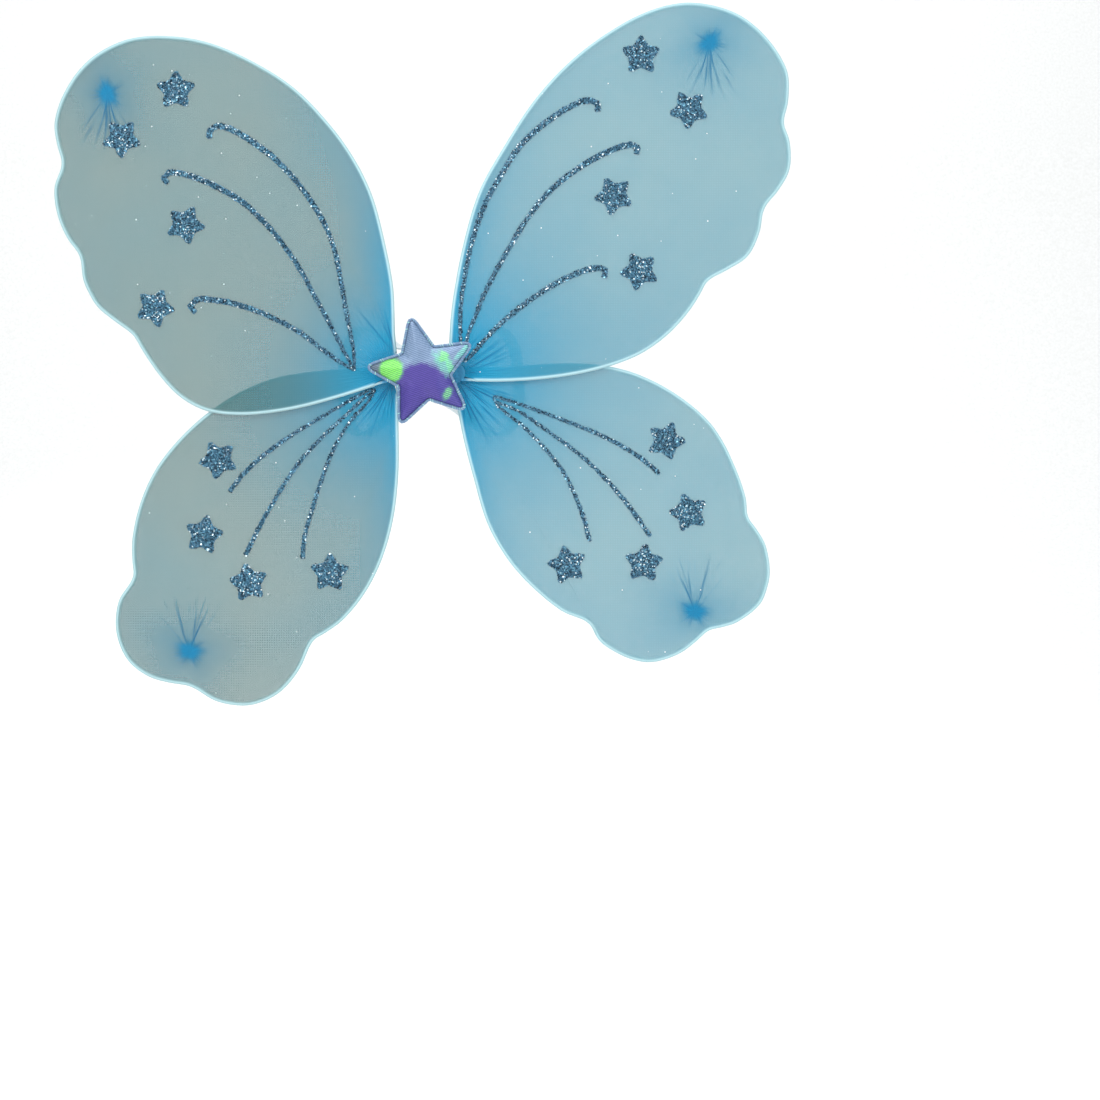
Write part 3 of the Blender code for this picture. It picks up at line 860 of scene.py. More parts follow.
@dataclass(frozen=True)
class GlitterGlue(Finish):
    """Clear glue full of fine dark glitter: glossy and steel blue, with painted shade in its hollows."""

    hollow_shade: int = 0x16323F
    grain_mm: float = 0.8

    def dress(self, tree: bpy.types.NodeTree, shader: bpy.types.Node, place: bpy.types.NodeSocket) -> None:
        """Adds the grain, darkened as painted shade where it is low.

        Args:
            tree: The material's node tree.
            shader: Its Principled shader.
            place: The Object coordinates.
        """
        # Painted shade: the colour is darkest where the grain's bump is lowest.
        colour, noise = mottled(tree, place, self.grain_mm, (self.hollow_shade, self.colour, 0x5C9CBC))
        tree.links.new(colour, shader.inputs["Base Color"])
        shader.inputs["Coat Weight"].default_value = 0.4
        raised(tree, shader, noise, 0.3, 0.8)


@dataclass(frozen=True)
class GlitterFlake(Finish):
    """Metallised polyester flakes: mirror-like, each facing its own way; how dark or bright each shows is
    painted into its colour as a painted reflection.
    """

    metallic: float = 0.55

    def dress(self, tree: bpy.types.NodeTree, shader: bpy.types.Node, place: bpy.types.NodeSocket) -> None:
        """Paints every flake its own brightness, from near black to white: painted reflection.

        Args:
            tree: The material's node tree.
            shader: Its Principled shader.
            place: The Object coordinates.
        """
        glint = add_node(tree, "ShaderNodeAttribute", {"attribute_name": "glint"})
        stops = (
            (0.0, 0x0C2431), (0.25, 0x1F4459), (0.52, self.colour), (0.8, 0x4B829C),
            (0.93, 0x86C3DA), (0.97, 0xEAFBFF),
        )
        ramp = add_node(tree, "ShaderNodeValToRGB", {"stops": stops}, {"Fac": glint.outputs["Fac"]})
        tree.links.new(ramp.outputs["Color"], shader.inputs["Base Color"])
        shader.inputs["Metallic"].default_value = self.metallic


@dataclass(frozen=True)
class ClothTape(Finish):
    """Nylon and cloth tape wound tight: matt and finely ribbed, with painted shade in the hollows."""

    hollow_shade: int = 0x2E8CB4
    rib_mm: float = 0.9
    sheen: float = 0.4

    def dress(self, tree: bpy.types.NodeTree, shader: bpy.types.Node, place: bpy.types.NodeSocket) -> None:
        """Adds the ribs and the uneven dye, darkened as painted shade in the dips.

        Args:
            tree: The material's node tree.
            shader: Its Principled shader.
            place: The Object coordinates.
        """
        colour, noise = mottled(tree, place, 3.0, (self.hollow_shade, self.colour))
        ribs = add_node(
            tree, "ShaderNodeTexWave", {"bands_direction": "Z"},
            {"Vector": place, "Scale": band_scale(self.rib_mm), "Distortion": 1.5, "Detail": 2.0},
        ).outputs["Fac"]
        # Painted shade: the colour is darkened in the dips between the ribs.
        dark = add_node(
            tree, "ShaderNodeMix", {"data_type": "RGBA", "blend_type": "MULTIPLY"},
            {MIX_FACTOR: 0.3, MIX_A: colour, MIX_B: ribs},
        )
        height = add_node(tree, "ShaderNodeMath", {"operation": "ADD"}, {0: ribs, 1: noise}).outputs[0]
        tree.links.new(dark.outputs[MIX_RESULT], shader.inputs["Base Color"])
        shader.inputs["Sheen Weight"].default_value = self.sheen
        raised(tree, shader, height, 0.15, 0.8)


@dataclass(frozen=True)
class Felt(Finish):
    """Pressed acrylic felt: no gloss, a soft halo, and fibres lying every way."""

    fibre: int = 0xB9E2EE
    fibre_mm: float = 0.7

    def dress(self, tree: bpy.types.NodeTree, shader: bpy.types.Node, place: bpy.types.NodeSocket) -> None:
        """Adds the tangled fibres.

        Args:
            tree: The material's node tree.
            shader: Its Principled shader.
            place: The Object coordinates.
        """
        bent = add_node(tree, "ShaderNodeTexNoise", inputs={"Vector": place, "Scale": per_metre(2.5)})
        moved = add_node(
            tree, "ShaderNodeVectorMath", {"operation": "MULTIPLY_ADD"},
            {0: bent.outputs["Color"], 1: (2 * MM, 2 * MM, 2 * MM), 2: place},
        ).outputs[0]
        colour, noise = mottled(tree, moved, self.fibre_mm, (0x5FAECB, self.colour, self.fibre), 6.0)
        tree.links.new(colour, shader.inputs["Base Color"])
        shader.inputs["Sheen Weight"].default_value = 0.7
        raised(tree, shader, noise, 0.4, 0.9)


@dataclass(frozen=True)
class HotGlue(Finish):
    """Hot-melt glue: milky, half clear, rounded and lightly glossy."""

    def dress(self, tree: bpy.types.NodeTree, shader: bpy.types.Node, place: bpy.types.NodeSocket) -> None:
        """Lets light into the glue and adds its flow marks.

        Args:
            tree: The material's node tree.
            shader: Its Principled shader.
            place: The Object coordinates.
        """
        colour, noise = mottled(tree, place, 2.0, (0xD3DEDC, self.colour))
        tree.links.new(colour, shader.inputs["Base Color"])
        shader.inputs["Subsurface Weight"].default_value = 0.5
        shader.inputs["Subsurface Radius"].default_value = (0.002, 0.002, 0.002)
        raised(tree, shader, noise, 0.3, 0.4)


@dataclass(frozen=True)
class FilmReflection:
    """One patch of painted iridescent reflection on the film: an ellipse in millimetres, turned
    counterclockwise in degrees.

    Noise breaks its edge by ragged and the film's ribs by ribbed, and the ribs thin its colour by striped.
    """

    colour: int
    x: float
    z: float
    wide: float
    tall: float
    turn: float = 0.0
    ragged: float = 0.35
    ribbed: float = 0.0
    strength: float = 1.0
    striped: float = 0.0


@dataclass(frozen=True)
class IridescentFilm(Finish):
    """Iridescent film bonded to a ribbed knit: its colour bands stand where the ribs tilt the film, and are
    painted here as fixed patches of painted reflection.

    The ribs are 0.5 mm apart in life and are drawn at 1.1 mm, so that they show.
    """

    reflections: tuple[FilmReflection, ...] = ()
    rib_mm: float = 1.1
    rib_turn: float = 18.0

    def dress(self, tree: bpy.types.NodeTree, shader: bpy.types.Node, place: bpy.types.NodeSocket) -> None:
        """Adds the painted reflection patches, one over the other, and the ribs, which also paint the colour
        lighter and darker as painted light and shade.

        Args:
            tree: The material's node tree.
            shader: Its Principled shader.
            place: The Object coordinates.
        """
        turned = add_node(
            tree, "ShaderNodeMapping",
            inputs={"Vector": place, "Rotation": (0.0, math.radians(self.rib_turn), 0.0)},
        ).outputs[0]
        ribs = add_node(
            tree, "ShaderNodeTexWave", {"bands_direction": "Z"},
            {
                "Vector": turned, "Scale": band_scale(self.rib_mm), "Distortion": 1.6,
                "Detail": 2.0, "Detail Scale": 3.0,
            },
        ).outputs["Fac"]
        colour, _ = mottled(tree, place, 16.0, (self.colour, 0x8BA3C4))
        ragged = add_node(
            tree, "ShaderNodeTexNoise", inputs={"Vector": place, "Scale": per_metre(3.2), "Detail": 4.0}
        ).outputs[0]
        for reflection in self.reflections:
            share = self.patch(tree, place, reflection, ragged, ribs)
            colour = add_node(
                tree, "ShaderNodeMix", {"data_type": "RGBA"},
                {MIX_FACTOR: share, MIX_A: colour, MIX_B: rgb(reflection.colour)},
            ).outputs[MIX_RESULT]
        # Painted light and shade: the ribs lighten and darken the film's colour.
        painted_rib_streaks = add_node(
            tree, "ShaderNodeMix", {"data_type": "RGBA", "blend_type": "SOFT_LIGHT"},
            {MIX_FACTOR: 0.55, MIX_A: colour, MIX_B: ribs},
        )
        tree.links.new(painted_rib_streaks.outputs[MIX_RESULT], shader.inputs["Base Color"])
        shader.inputs["Metallic"].default_value = 0.2
        shader.inputs["Coat Weight"].default_value = 0.15
        raised(tree, shader, ribs, 0.1, 0.6)

    def patch(
        self, tree: bpy.types.NodeTree, place: bpy.types.NodeSocket, reflection: FilmReflection,
        ragged: bpy.types.NodeSocket, ribs: bpy.types.NodeSocket,
    ) -> bpy.types.NodeSocket:
        """How strongly one patch covers each place.

        Args:
            tree: The material's node tree.
            place: The Object coordinates.
            reflection: The patch.
            ragged: Noise that breaks its edge.
            ribs: The film's ribs, which break it into dashes.

        Returns:
            The cover, from 0 to 1.
        """
        flat = add_node(
            tree, "ShaderNodeMapping", {"vector_type": "TEXTURE"},
            {
                "Vector": place, "Location": (reflection.x * MM, 0.0, reflection.z * MM),
                "Rotation": (0.0, math.radians(-reflection.turn), 0.0),
                "Scale": (reflection.wide * MM, 100.0, reflection.tall * MM),
            },
        ).outputs[0]
        reach = add_node(tree, "ShaderNodeVectorMath", {"operation": "LENGTH"}, {0: flat}).outputs["Value"]
        for noise, amount in ((ragged, reflection.ragged * 2), (ribs, reflection.ribbed)):
            reach = add_node(
                tree, "ShaderNodeMath", {"operation": "MULTIPLY_ADD"}, {0: noise, 1: amount, 2: reach}
            ).outputs[0]
        middle = 1.0 + reflection.ragged + reflection.ribbed / 2
        stripes = add_node(
            tree, "ShaderNodeMapRange", {"interpolation_type": "SMOOTHSTEP"},
            {
                "Value": ribs, "From Min": 0.1, "From Max": 0.55,
                "To Min": reflection.strength * (1 - reflection.striped), "To Max": reflection.strength,
            },
        ).outputs[0]
        inside_it = add_node(
            tree, "ShaderNodeMapRange", {"interpolation_type": "SMOOTHSTEP"},
            {
                "Value": reach, "From Min": middle - 0.07, "From Max": middle + 0.07,
                "To Min": 1.0, "To Max": 0.0,
            },
        ).outputs[0]
        return add_node(
            tree, "ShaderNodeMath", {"operation": "MULTIPLY"}, {0: inside_it, 1: stripes}
        ).outputs[0]


@dataclass(frozen=True)
class PlainKnit(Finish):
    """The film's white knitted backing, or loose wadding where the knit is coarse."""

    shade: int = 0xC8D2DA
    knit_mm: float = 0.9

    def dress(self, tree: bpy.types.NodeTree, shader: bpy.types.Node, place: bpy.types.NodeSocket) -> None:
        """Adds the loops.

        Args:
            tree: The material's node tree.
            shader: Its Principled shader.
            place: The Object coordinates.
        """
        cells = add_node(
            tree, "ShaderNodeTexVoronoi", inputs={"Vector": place, "Scale": per_metre(self.knit_mm)}
        )
        colour = add_node(
            tree, "ShaderNodeValToRGB", {"stops": ((0.1, self.colour), (0.8, self.shade))},
            {"Fac": cells.outputs["Distance"]},
        )
        tree.links.new(colour.outputs["Color"], shader.inputs["Base Color"])
        shader.inputs["Sheen Weight"].default_value = 0.3
        raised(tree, shader, cells.outputs["Distance"], 0.3, 0.6)


@dataclass(frozen=True)
class SewingThread(Finish):
    """Polyester thread with a fine twist, each stitch painted its own brightness: painted shade and painted
    mint highlights that run from stitch to stitch.
    """

    shine: int = 0xC4FFE8
    deep: int = 0x6A86AE
    twist_mm: float = 0.6

    def dress(self, tree: bpy.types.NodeTree, shader: bpy.types.Node, place: bpy.types.NodeSocket) -> None:
        """Paints every stitch its own painted shade or painted highlight, and adds the twist.

        Args:
            tree: The material's node tree.
            shader: Its Principled shader.
            place: The Object coordinates.
        """
        glint = add_node(tree, "ShaderNodeAttribute", {"attribute_name": "glint"})
        stops = ((0.1, self.deep), (0.55, self.colour), (0.9, self.shine))
        ramp = add_node(tree, "ShaderNodeValToRGB", {"stops": stops}, {"Fac": glint.outputs["Fac"]})
        twist = add_node(
            tree, "ShaderNodeTexWave", {"bands_direction": "DIAGONAL"},
            {"Vector": place, "Scale": band_scale(self.twist_mm)},
        ).outputs["Fac"]
        tree.links.new(ramp.outputs["Color"], shader.inputs["Base Color"])
        shader.inputs["Sheen Weight"].default_value = 0.3
        raised(tree, shader, twist, 0.08, 0.6)


@dataclass(frozen=True)
class ElasticWebbing(Finish):
    """Woven elastic: rubber cores wrapped in polyester, ribbed lengthwise and crossed by fine picks."""

    hollow_shade: int = 0xCFDCE0
    pick_mm: float = 0.9

    def dress(self, tree: bpy.types.NodeTree, shader: bpy.types.Node, place: bpy.types.NodeSocket) -> None:
        """Adds the picks across the ribs, and paints shade into the colour where they dip.

        Args:
            tree: The material's node tree.
            shader: Its Principled shader.
            place: The Object coordinates.
        """
        across = add_node(tree, "ShaderNodeAttribute", {"attribute_name": "rib"}).outputs["Fac"]
        along = add_node(tree, "ShaderNodeAttribute", {"attribute_name": "along"}).outputs["Fac"]
        phase = add_node(
            tree, "ShaderNodeMath", {"operation": "MULTIPLY"},
            {0: along, 1: 2 * math.pi * per_metre(self.pick_mm)},
        ).outputs[0]
        picks = add_node(tree, "ShaderNodeMath", {"operation": "SINE"}, {0: phase}).outputs[0]
        height = add_node(
            tree, "ShaderNodeMath", {"operation": "MULTIPLY_ADD"}, {0: picks, 1: 0.22, 2: across}
        ).outputs[0]
        # Painted shade: the colour darkens with the height, lowest between ribs and picks.
        colour = add_node(
            tree, "ShaderNodeValToRGB", {"stops": ((0.0, self.hollow_shade), (0.7, self.colour))}, {"Fac": height}
        )
        tree.links.new(colour.outputs["Color"], shader.inputs["Base Color"])
        shader.inputs["Sheen Weight"].default_value = 0.4
        raised(tree, shader, height, 0.15, 0.8)


@dataclass(frozen=True)
class StudioPaper(Finish):
    """Seamless studio paper: matt and almost white, with a faint tooth."""

    def dress(self, tree: bpy.types.NodeTree, shader: bpy.types.Node, place: bpy.types.NodeSocket) -> None:
        """Adds the tooth.

        Args:
            tree: The material's node tree.
            shader: Its Principled shader.
            place: The Object coordinates.
        """
        colour, noise = mottled(tree, place, 4.0, (0xF1F1EF, self.colour))
        tree.links.new(colour, shader.inputs["Base Color"])
        shader.inputs["Specular IOR Level"].default_value = 0.1
        raised(tree, shader, noise, 0.2, 0.2)


# Painted iridescent reflections, fixed on the star's film: where and how strongly each colour shows.
STAR_REFLECTIONS = (
    # Violet over the lower half.
    FilmReflection(0x51419B, -1.0, -10.5, wide=17.5, tall=16.0, ragged=0.12, ribbed=0.15, striped=0.12),
    FilmReflection(0x4E4099, -8.0, -24.0, wide=9.5, tall=16.0, turn=-14.0, ragged=0.12, ribbed=0.1, striped=0.12),
    FilmReflection(0x4E449B, 18.5, -16.0, wide=7.0, tall=16.0, turn=30.0, ragged=0.12, ribbed=0.1, striped=0.12),
    # The left arm: grey at its tip, then bright green.
    FilmReflection(0x66788A, -25.0, 3.5, wide=12.0, tall=7.0, turn=12.0, ragged=0.12),
    FilmReflection(0x84F062, -19.5, 1.2, wide=7.6, tall=7.6, turn=25.0, ragged=0.22, ribbed=0.25, striped=0.45),
    # The right side: broken mint and green, and a pale line down the lower arm.
    FilmReflection(
        0x84DCC4, 14.0, 5.0, wide=4.6, tall=10.0, turn=40.0,
        ragged=0.95, ribbed=0.6, strength=0.85, striped=0.85,
    ),
    FilmReflection(
        0x8CF08C, 13.0, 9.5, wide=3.4, tall=3.8, turn=30.0,
        ragged=0.9, ribbed=0.5, strength=0.9, striped=0.7,
    ),
    FilmReflection(
        0x8CF0B0, 18.6, 0.5, wide=2.0, tall=9.5, turn=28.0,
        ragged=0.8, ribbed=0.5, strength=0.9, striped=0.6,
    ),
    FilmReflection(
        0x8FF0DC, 25.6, 13.6, wide=1.7, tall=8.5, turn=-42.0,
        ragged=0.7, ribbed=0.5, strength=0.9, striped=0.8,
    ),
    FilmReflection(
        0x9FE0EC, 22.6, -11.5, wide=1.6, tall=11.5, turn=22.0,
        ragged=0.35, ribbed=0.3, strength=0.9, striped=0.3,
    ),
    FilmReflection(
        0x7FE08C, 15.6, -13.5, wide=2.8, tall=4.6, turn=-30.0,
        ragged=0.35, ribbed=0.6, strength=0.9, striped=0.85,
    ),
)
WIRE_COAT = CoatedWire("Enamelled steel wire", 0xD2EDF2, 0.3)
TUFT_NYLON = ClothTape("Gathered nylon knot", 0x1E97DD, 0.55, hollow_shade=0x1478BE, rib_mm=0.7, sheen=0.5)
GLITTER_GLUE = GlitterGlue("Glitter glue", 0x3B6A86, 0.3)
GLITTER_FLAKE = GlitterFlake("Metallised glitter flakes", 0x3F6F8C, 0.22)
BINDING_TAPE = ClothTape("Wound nylon tape", 0x36A5D4, 0.65, hollow_shade=0x1C82B2)
PAD_FELT = Felt("Acrylic felt", 0x86CBE0, 0.95)
STAR_GLUE = HotGlue("Hot-melt glue", 0xEDF3F1, 0.35)
STAR_FILM = IridescentFilm("Iridescent film on knit", 0x768FB0, 0.45, STAR_REFLECTIONS)
STAR_BACKING = PlainKnit("White knit backing", 0xE3EAEE, 0.8)
WADDING = PlainKnit("Polyester wadding", 0xF2F2EC, 0.95, shade=0xDCDCD4, knit_mm=2.2)
EDGE_THREAD = SewingThread("Overlock thread", 0x8FB0CC, 0.4)
TIE_THREAD = SewingThread("Tie thread", 0xBFE6EE, 0.5)
STRAP_ELASTIC = ElasticWebbing("Woven elastic", 0xF6F8F8, 0.75)
BACKDROP = StudioPaper("Studio paper", 0xFAFAF9, 0.95)


def settle(
    obj: bpy.types.Object, body: str, finishes: Sequence[Finish], nodes: Sequence[str]
) -> bpy.types.Object:
    """Dresses a finished piece, puts it on its body and logs it.

    Args:
        obj: The piece.
        body: The CAD body that it moves with.
        finishes: Its materials, in the order of their numbers.
        nodes: The CAD nodes that it stands for.

    Returns:
        The same piece.
    """
    for finish in finishes:
        obj.data.materials.append(finish.material())
    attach(obj, body)
    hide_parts(*nodes)
    LOG.info("%s on %s, %d faces", obj.name, body, len(obj.data.polygons))
    return obj


# ---------------------------------------------------------------- wings
class Tier(Enum):
    """Which pair a wing belongs to, with the angles between which its wire turns round the hinge post."""

    UPPER = (-105.0, -180.0)
    LOWER = (180.0, 100.0)


class Side(Enum):
    """The wearer's side, as the sign of outward along X."""

    LEFT = -1
    RIGHT = 1


# The nylon's two tones on each side, of which the left pair is the greyer.
NYLON_TONES = {Side.LEFT: (0x658783, 0x4A848A), Side.RIGHT: (0x6CA6B2, 0x569FB2)}

# The tied tuft from its root to its flared end and back into it: how high, as a share, and its radius in mm.
TUFT_PROFILE = (
    (0.0, 5.2), (0.06, 4.4), (0.2, 2.4), (0.36, 1.75), (0.46, 1.75), (0.6, 2.5), (0.8, 3.4), (1.0, 3.9),
    (1.04, 3.2), (0.9, 1.6), (0.82, 0.5),
)
TUFT_TURNS = (0.33, 0.41, 0.49)

# The rounded edge of a bed of glitter glue: how far in, in mm, and how high, as a share.
GLUE_PROFILE = ((0.0, 0.0), (0.05, 0.5), (0.3, 1.0))


@dataclass
class Wing:
    """One wing: its wire, the nylon sleeve stretched over it, its glitter and the knot behind."""

    tier: Tier
    side: Side
    root_fans: tuple[CreaseFan, ...]
    vein_meet: tuple[float, float]
    dye_reach: float
    edge_dye_reach: float
    seed: int
    stars: int = 4
    veins: int = 3

    wire_radius: float = 0.9 * MM
    wire_sides: int = 12
    wire_spacing: float = 1.8 * MM
    wire_to_cloth: float = 1.2 * MM
    eye_reach: float = 10 * MM
    eye_fade: float = 3 * MM

    bead: float = 1.15 * MM
    bead_fade: float = 2.2 * MM
    layer: float = 0.5 * MM
    root_radius: float = 5.2 * MM
    ridge: float = 0.4 * MM
    ridge_reach: float = 24 * MM
    ridge_start: float = 3 * MM
    ridge_pitch: float = 4.6
    edge_dye_width: float = 20 * MM
    pale_edge: float = 0.8 * MM
    knot_pull: float = 0.9 * MM
    knot_pull_reach: float = 6 * MM
    knot_stain: float = 6.2 * MM
    knot_halo: float = 21 * MM
    columns: int = 420
    rows: int = 64

    tuft_waist: float = 1.95 * MM
    tuft_thread: float = 0.22 * MM

    glitter_base: float = 0.45 * MM
    glitter_top: float = 1.05 * MM
    glue_spacing: float = 0.7 * MM
    glue_swell: float = 0.2 * MM
    glue_wobble: float = 0.22 * MM
    flake_radius: float = 0.5 * MM
    flake_thickness: float = 0.1 * MM
    flake_pitch: float = 0.8 * MM
    flake_margin: float = 0.12 * MM
    flake_tilt: float = 34.0

    def __post_init__(self) -> None:
        """Reads the wing's hinge, rim and knot from the frame."""
        self.name = f"{self.tier.name}_{self.side.name}".lower()
        self.body = self.name + "_wing"
        self.hinge = joint_place(self.body)
        low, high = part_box(self.name + "_wing_knot")
        self.knot = self.own(np.array([[(low.x + high.x) / 2, (low.z + high.z) / 2]]))[0]
        self.rim = self.read_rim()
        self.random = np.random.default_rng(self.seed)

    def own(self, flat: np.ndarray) -> np.ndarray:
        """World x and z as outward and up in the wing's own plane."""
        return np.stack([self.side.value * (flat[:, 0] - self.hinge[0]), flat[:, 1] - self.hinge[2]], axis=1)

    def world(self, flat: np.ndarray, depth: np.ndarray | float) -> np.ndarray:
        """Points of the wing's own plane as points in the frame.

        Args:
            flat: The points, as outward and up from the hinge.
            depth: How far each lies from the plane, along Y.

        Returns:
            The points in the frame.
        """
        x = self.hinge[0] + self.side.value * flat[..., 0]
        y = self.hinge[1] + np.broadcast_to(depth, flat.shape[:-1])
        return np.stack([x, y, self.hinge[2] + flat[..., 1]], axis=-1)

    def read_rim(self) -> np.ndarray:
        """Finds the wire's path from the rim of the CAD nylon, which lies just inside it.

        Returns:
            The wire's middle line, clockwise, from one side of the hinge to the other.
        """
        cloth = self.own(front_outline(self.name + "_wing_nylon"))
        reach = np.hypot(cloth[:, 0], cloth[:, 1])
        cut = int(np.argmin(reach + np.roll(reach, -1)))
        cloth = np.roll(cloth, -(cut + 1), axis=0)
        angle = np.arctan2(cloth[:, 1], cloth[:, 0])
        if angle[0] < angle[-1]:
            cloth = cloth[::-1]
        rim = cloth + side_normals(cloth) * self.wire_to_cloth
        return smooth_line(rim, 1.5 * MM)

    def build(self) -> None:
        """Makes every piece of the wing."""
        self.build_wire()
        self.build_nylon()
        self.build_knot()
        for number in range(1, self.stars + 1):
            self.build_glitter(f"{self.name}_glitter_star_{number}", "sequins_star")
        for number in range(1, self.veins + 1):
            self.build_glitter(f"{self.name}_glitter_vein_{number}", "flakes_line")

    def build_wire(self) -> None:
        """One loop of wire, with its eye round the hinge post."""
        low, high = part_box(self.name + "_wing_wire")
        inner = min(self.side.value * (x - self.hinge[0]) for x in (low.x, high.x))
        eye = -inner - self.wire_radius
        angles = np.radians(np.linspace(*self.tier.value, 7))
        turn = np.stack([np.cos(angles), np.sin(angles)], axis=1) * eye
        path = smooth_line(np.vstack([resample(self.rim, 260), turn]), self.wire_spacing, closed=True)
        shape = Shape()
        near = np.clip((self.eye_reach - np.hypot(path[:, 0], path[:, 1])) / self.eye_fade, 0.0, 1.0)
        wire = tube(self.world(path, 0.0), self.wire_radius, (0, 1, 0), self.wire_sides, closed=True)
        shape.add(wire, eye=np.repeat(near, self.wire_sides))
        settle(
            shape.build(self.name + "_wire_loop"), self.body, [WIRE_COAT], [self.name + "_wing_wire"]
        )

    def dye(self, flat: np.ndarray) -> np.ndarray:
        """How blue the nylon is: deep at the root, and along the edge beside the wearer's spine.

        Args:
            flat: Points in the wing's own plane.

        Returns:
            The dye at each, from 0 to 1.
        """
        reach = np.hypot(flat[:, 0], flat[:, 1])
        root = np.exp(-((reach / self.dye_reach) ** 1.7))
        inner = self.rim[np.abs(self.rim[:, 1]) < self.edge_dye_reach * 1.6]
        inner = inner[: len(inner) // 2] if self.tier is Tier.UPPER else inner[len(inner) // 2 :]
        edge = np.exp(-((distance_to(flat, inner) / self.edge_dye_width) ** 1.4))
        edge = edge * np.exp(-((reach / self.edge_dye_reach) ** 2))
        return np.clip(np.maximum(root, 0.85 * edge) + 0.25 * root * edge, 0.0, 1.0)

    def ridges(self, flat: np.ndarray, shift: float) -> np.ndarray:
        """How far the gathers of one layer stand up near the root.

        Args:
            flat: Points in the wing's own plane.
            shift: Turns the gathers, so that the two layers differ.

        Returns:
            The height at each.
        """
        reach = np.hypot(flat[:, 0], flat[:, 1])
        angle = np.degrees(np.arctan2(flat[:, 1], flat[:, 0]))
        sway = 1.7 * np.sin(np.radians(angle * 7 + 40 * shift))
        phase = 2 * math.pi * angle / self.ridge_pitch + shift + sway
        grow = np.clip((reach - self.root_radius) / self.ridge_start, 0.0, 1.0)
        fade = np.exp(-((reach / self.ridge_reach) ** 2))
        return self.ridge * grow * fade * (0.5 + 0.5 * np.sin(phase)) ** 2

    def build_nylon(self) -> None:
        """The sleeve: two layers that meet round the wire, gathered at the root and drawn in at the knot."""
        rim = resample(self.rim, self.columns)
        normals = side_normals(rim)
        root = unit(rim) * self.root_radius
        step = np.linspace(0.0, 1.0, self.rows + 1)
        share = 0.6 * 0.5 * (1 - np.cos(math.pi * step**0.95)) + 0.4 * step
        flat = root[:, None] + (rim - root)[:, None] * share[:, None]
        every = flat.reshape(-1, 2)
        from_rim = distance_to(every, rim)
        from_knot = np.linalg.norm(every - self.knot, axis=1)
        half = self.layer + (self.bead - self.layer) * np.exp(-((from_rim / self.bead_fade) ** 1.5))
        pull = self.knot_pull * np.exp(-((from_knot / self.knot_pull_reach) ** 2))
        front = (pull - half - self.ridges(every, 0.0)).reshape(flat.shape[:2])
        back = (pull * 0.6 + half + self.ridges(every, 2.1)).reshape(flat.shape[:2])
        turn = np.radians((30, 60, 90, 120, 150))
        wrap = rim[:, None] + normals[:, None] * (self.bead * np.sin(turn))[:, None]
        wrap_depth = np.broadcast_to(-self.bead * np.cos(turn), wrap.shape[:2])
        plane = np.concatenate([flat, wrap, flat[:, ::-1]], axis=1)
        depth = np.concatenate([front, wrap_depth, back[:, ::-1]], axis=1)
        rings = self.world(plane, depth)
        points, faces = skin(rings)
        faces = faces[:-2] + self.end_faces(rings.shape[1], 0)
        faces += [face[::-1] for face in self.end_faces(rings.shape[1], len(points) - rings.shape[1])]

        def both(value: np.ndarray, at_wrap: float) -> np.ndarray:
            """One value of the flat grid on both layers, with its value round the wire between them."""
            grid = value.reshape(flat.shape[:2])
            return np.concatenate([grid, np.full(wrap.shape[:2], at_wrap), grid[:, ::-1]], axis=1).ravel()

        bearing = np.arctan2(every[:, 1] - self.knot[1], every[:, 0] - self.knot[0])
        uneven = 1 + 0.16 * np.sin(2 * bearing + self.seed) + 0.1 * np.sin(5 * bearing + 2 * self.seed)
        ragged = from_knot * uneven
        stain = 0.8 * np.exp(-((ragged / self.knot_stain) ** 3))
        knot = stain + 0.36 * np.exp(-((ragged / self.knot_halo) ** 1.6))
        shape = Shape()
        shape.add(
            (points, faces),
            dye=both(self.dye(every), 0.0), knot=both(knot, 0.0),
            edge=both(np.exp(-((from_rim / self.pale_edge) ** 2)), 0.85),
        )
        nylon = settle(
            shape.build(self.name + "_nylon_sleeve"), self.body, [self.nylon()],
            [self.name + "_wing_nylon"],
        )

    def end_faces(self, around: int, start: int) -> Faces:
        """Faces over one side of the sleeve, from layer to layer.

        Args:
            around: How many points a ring of the sleeve has.
            start: The number of that ring's first point.

        Returns:
            Quads between the layers, and one face where they wrap the wire.
        """
        last = start + around - 1
        quads = [[start + j, start + j + 1, last - j - 1, last - j] for j in range(self.rows)]
        return quads + [list(range(start + self.rows, last - self.rows + 1))]

    def nylon(self) -> StretchedNylon:
        """Makes up this wing's nylon.

        Returns:
            The finish, with the wing's own tones and folds.
        """
        out, up = self.knot / MM
        streak = -90.0 if self.tier is Tier.UPPER else 90.0
        at_knot = (
            CreaseFan(out, up, aim=streak, half_spread=36.0, near=9.0, far=40.0, pitch=6.0, strength=0.8),
            CreaseFan(out, up, aim=-streak, half_spread=150.0, near=2.0, far=14.0, pitch=8.0, strength=0.7),
        )
        pale, tint = NYLON_TONES[self.side]
        return StretchedNylon(
            f"Stretched nylon {self.name}", pale, 0.55, hinge=(float(self.hinge[0]), float(self.hinge[2])),
            side=self.side.value, fans=self.root_fans + at_knot, tint=tint,
        )

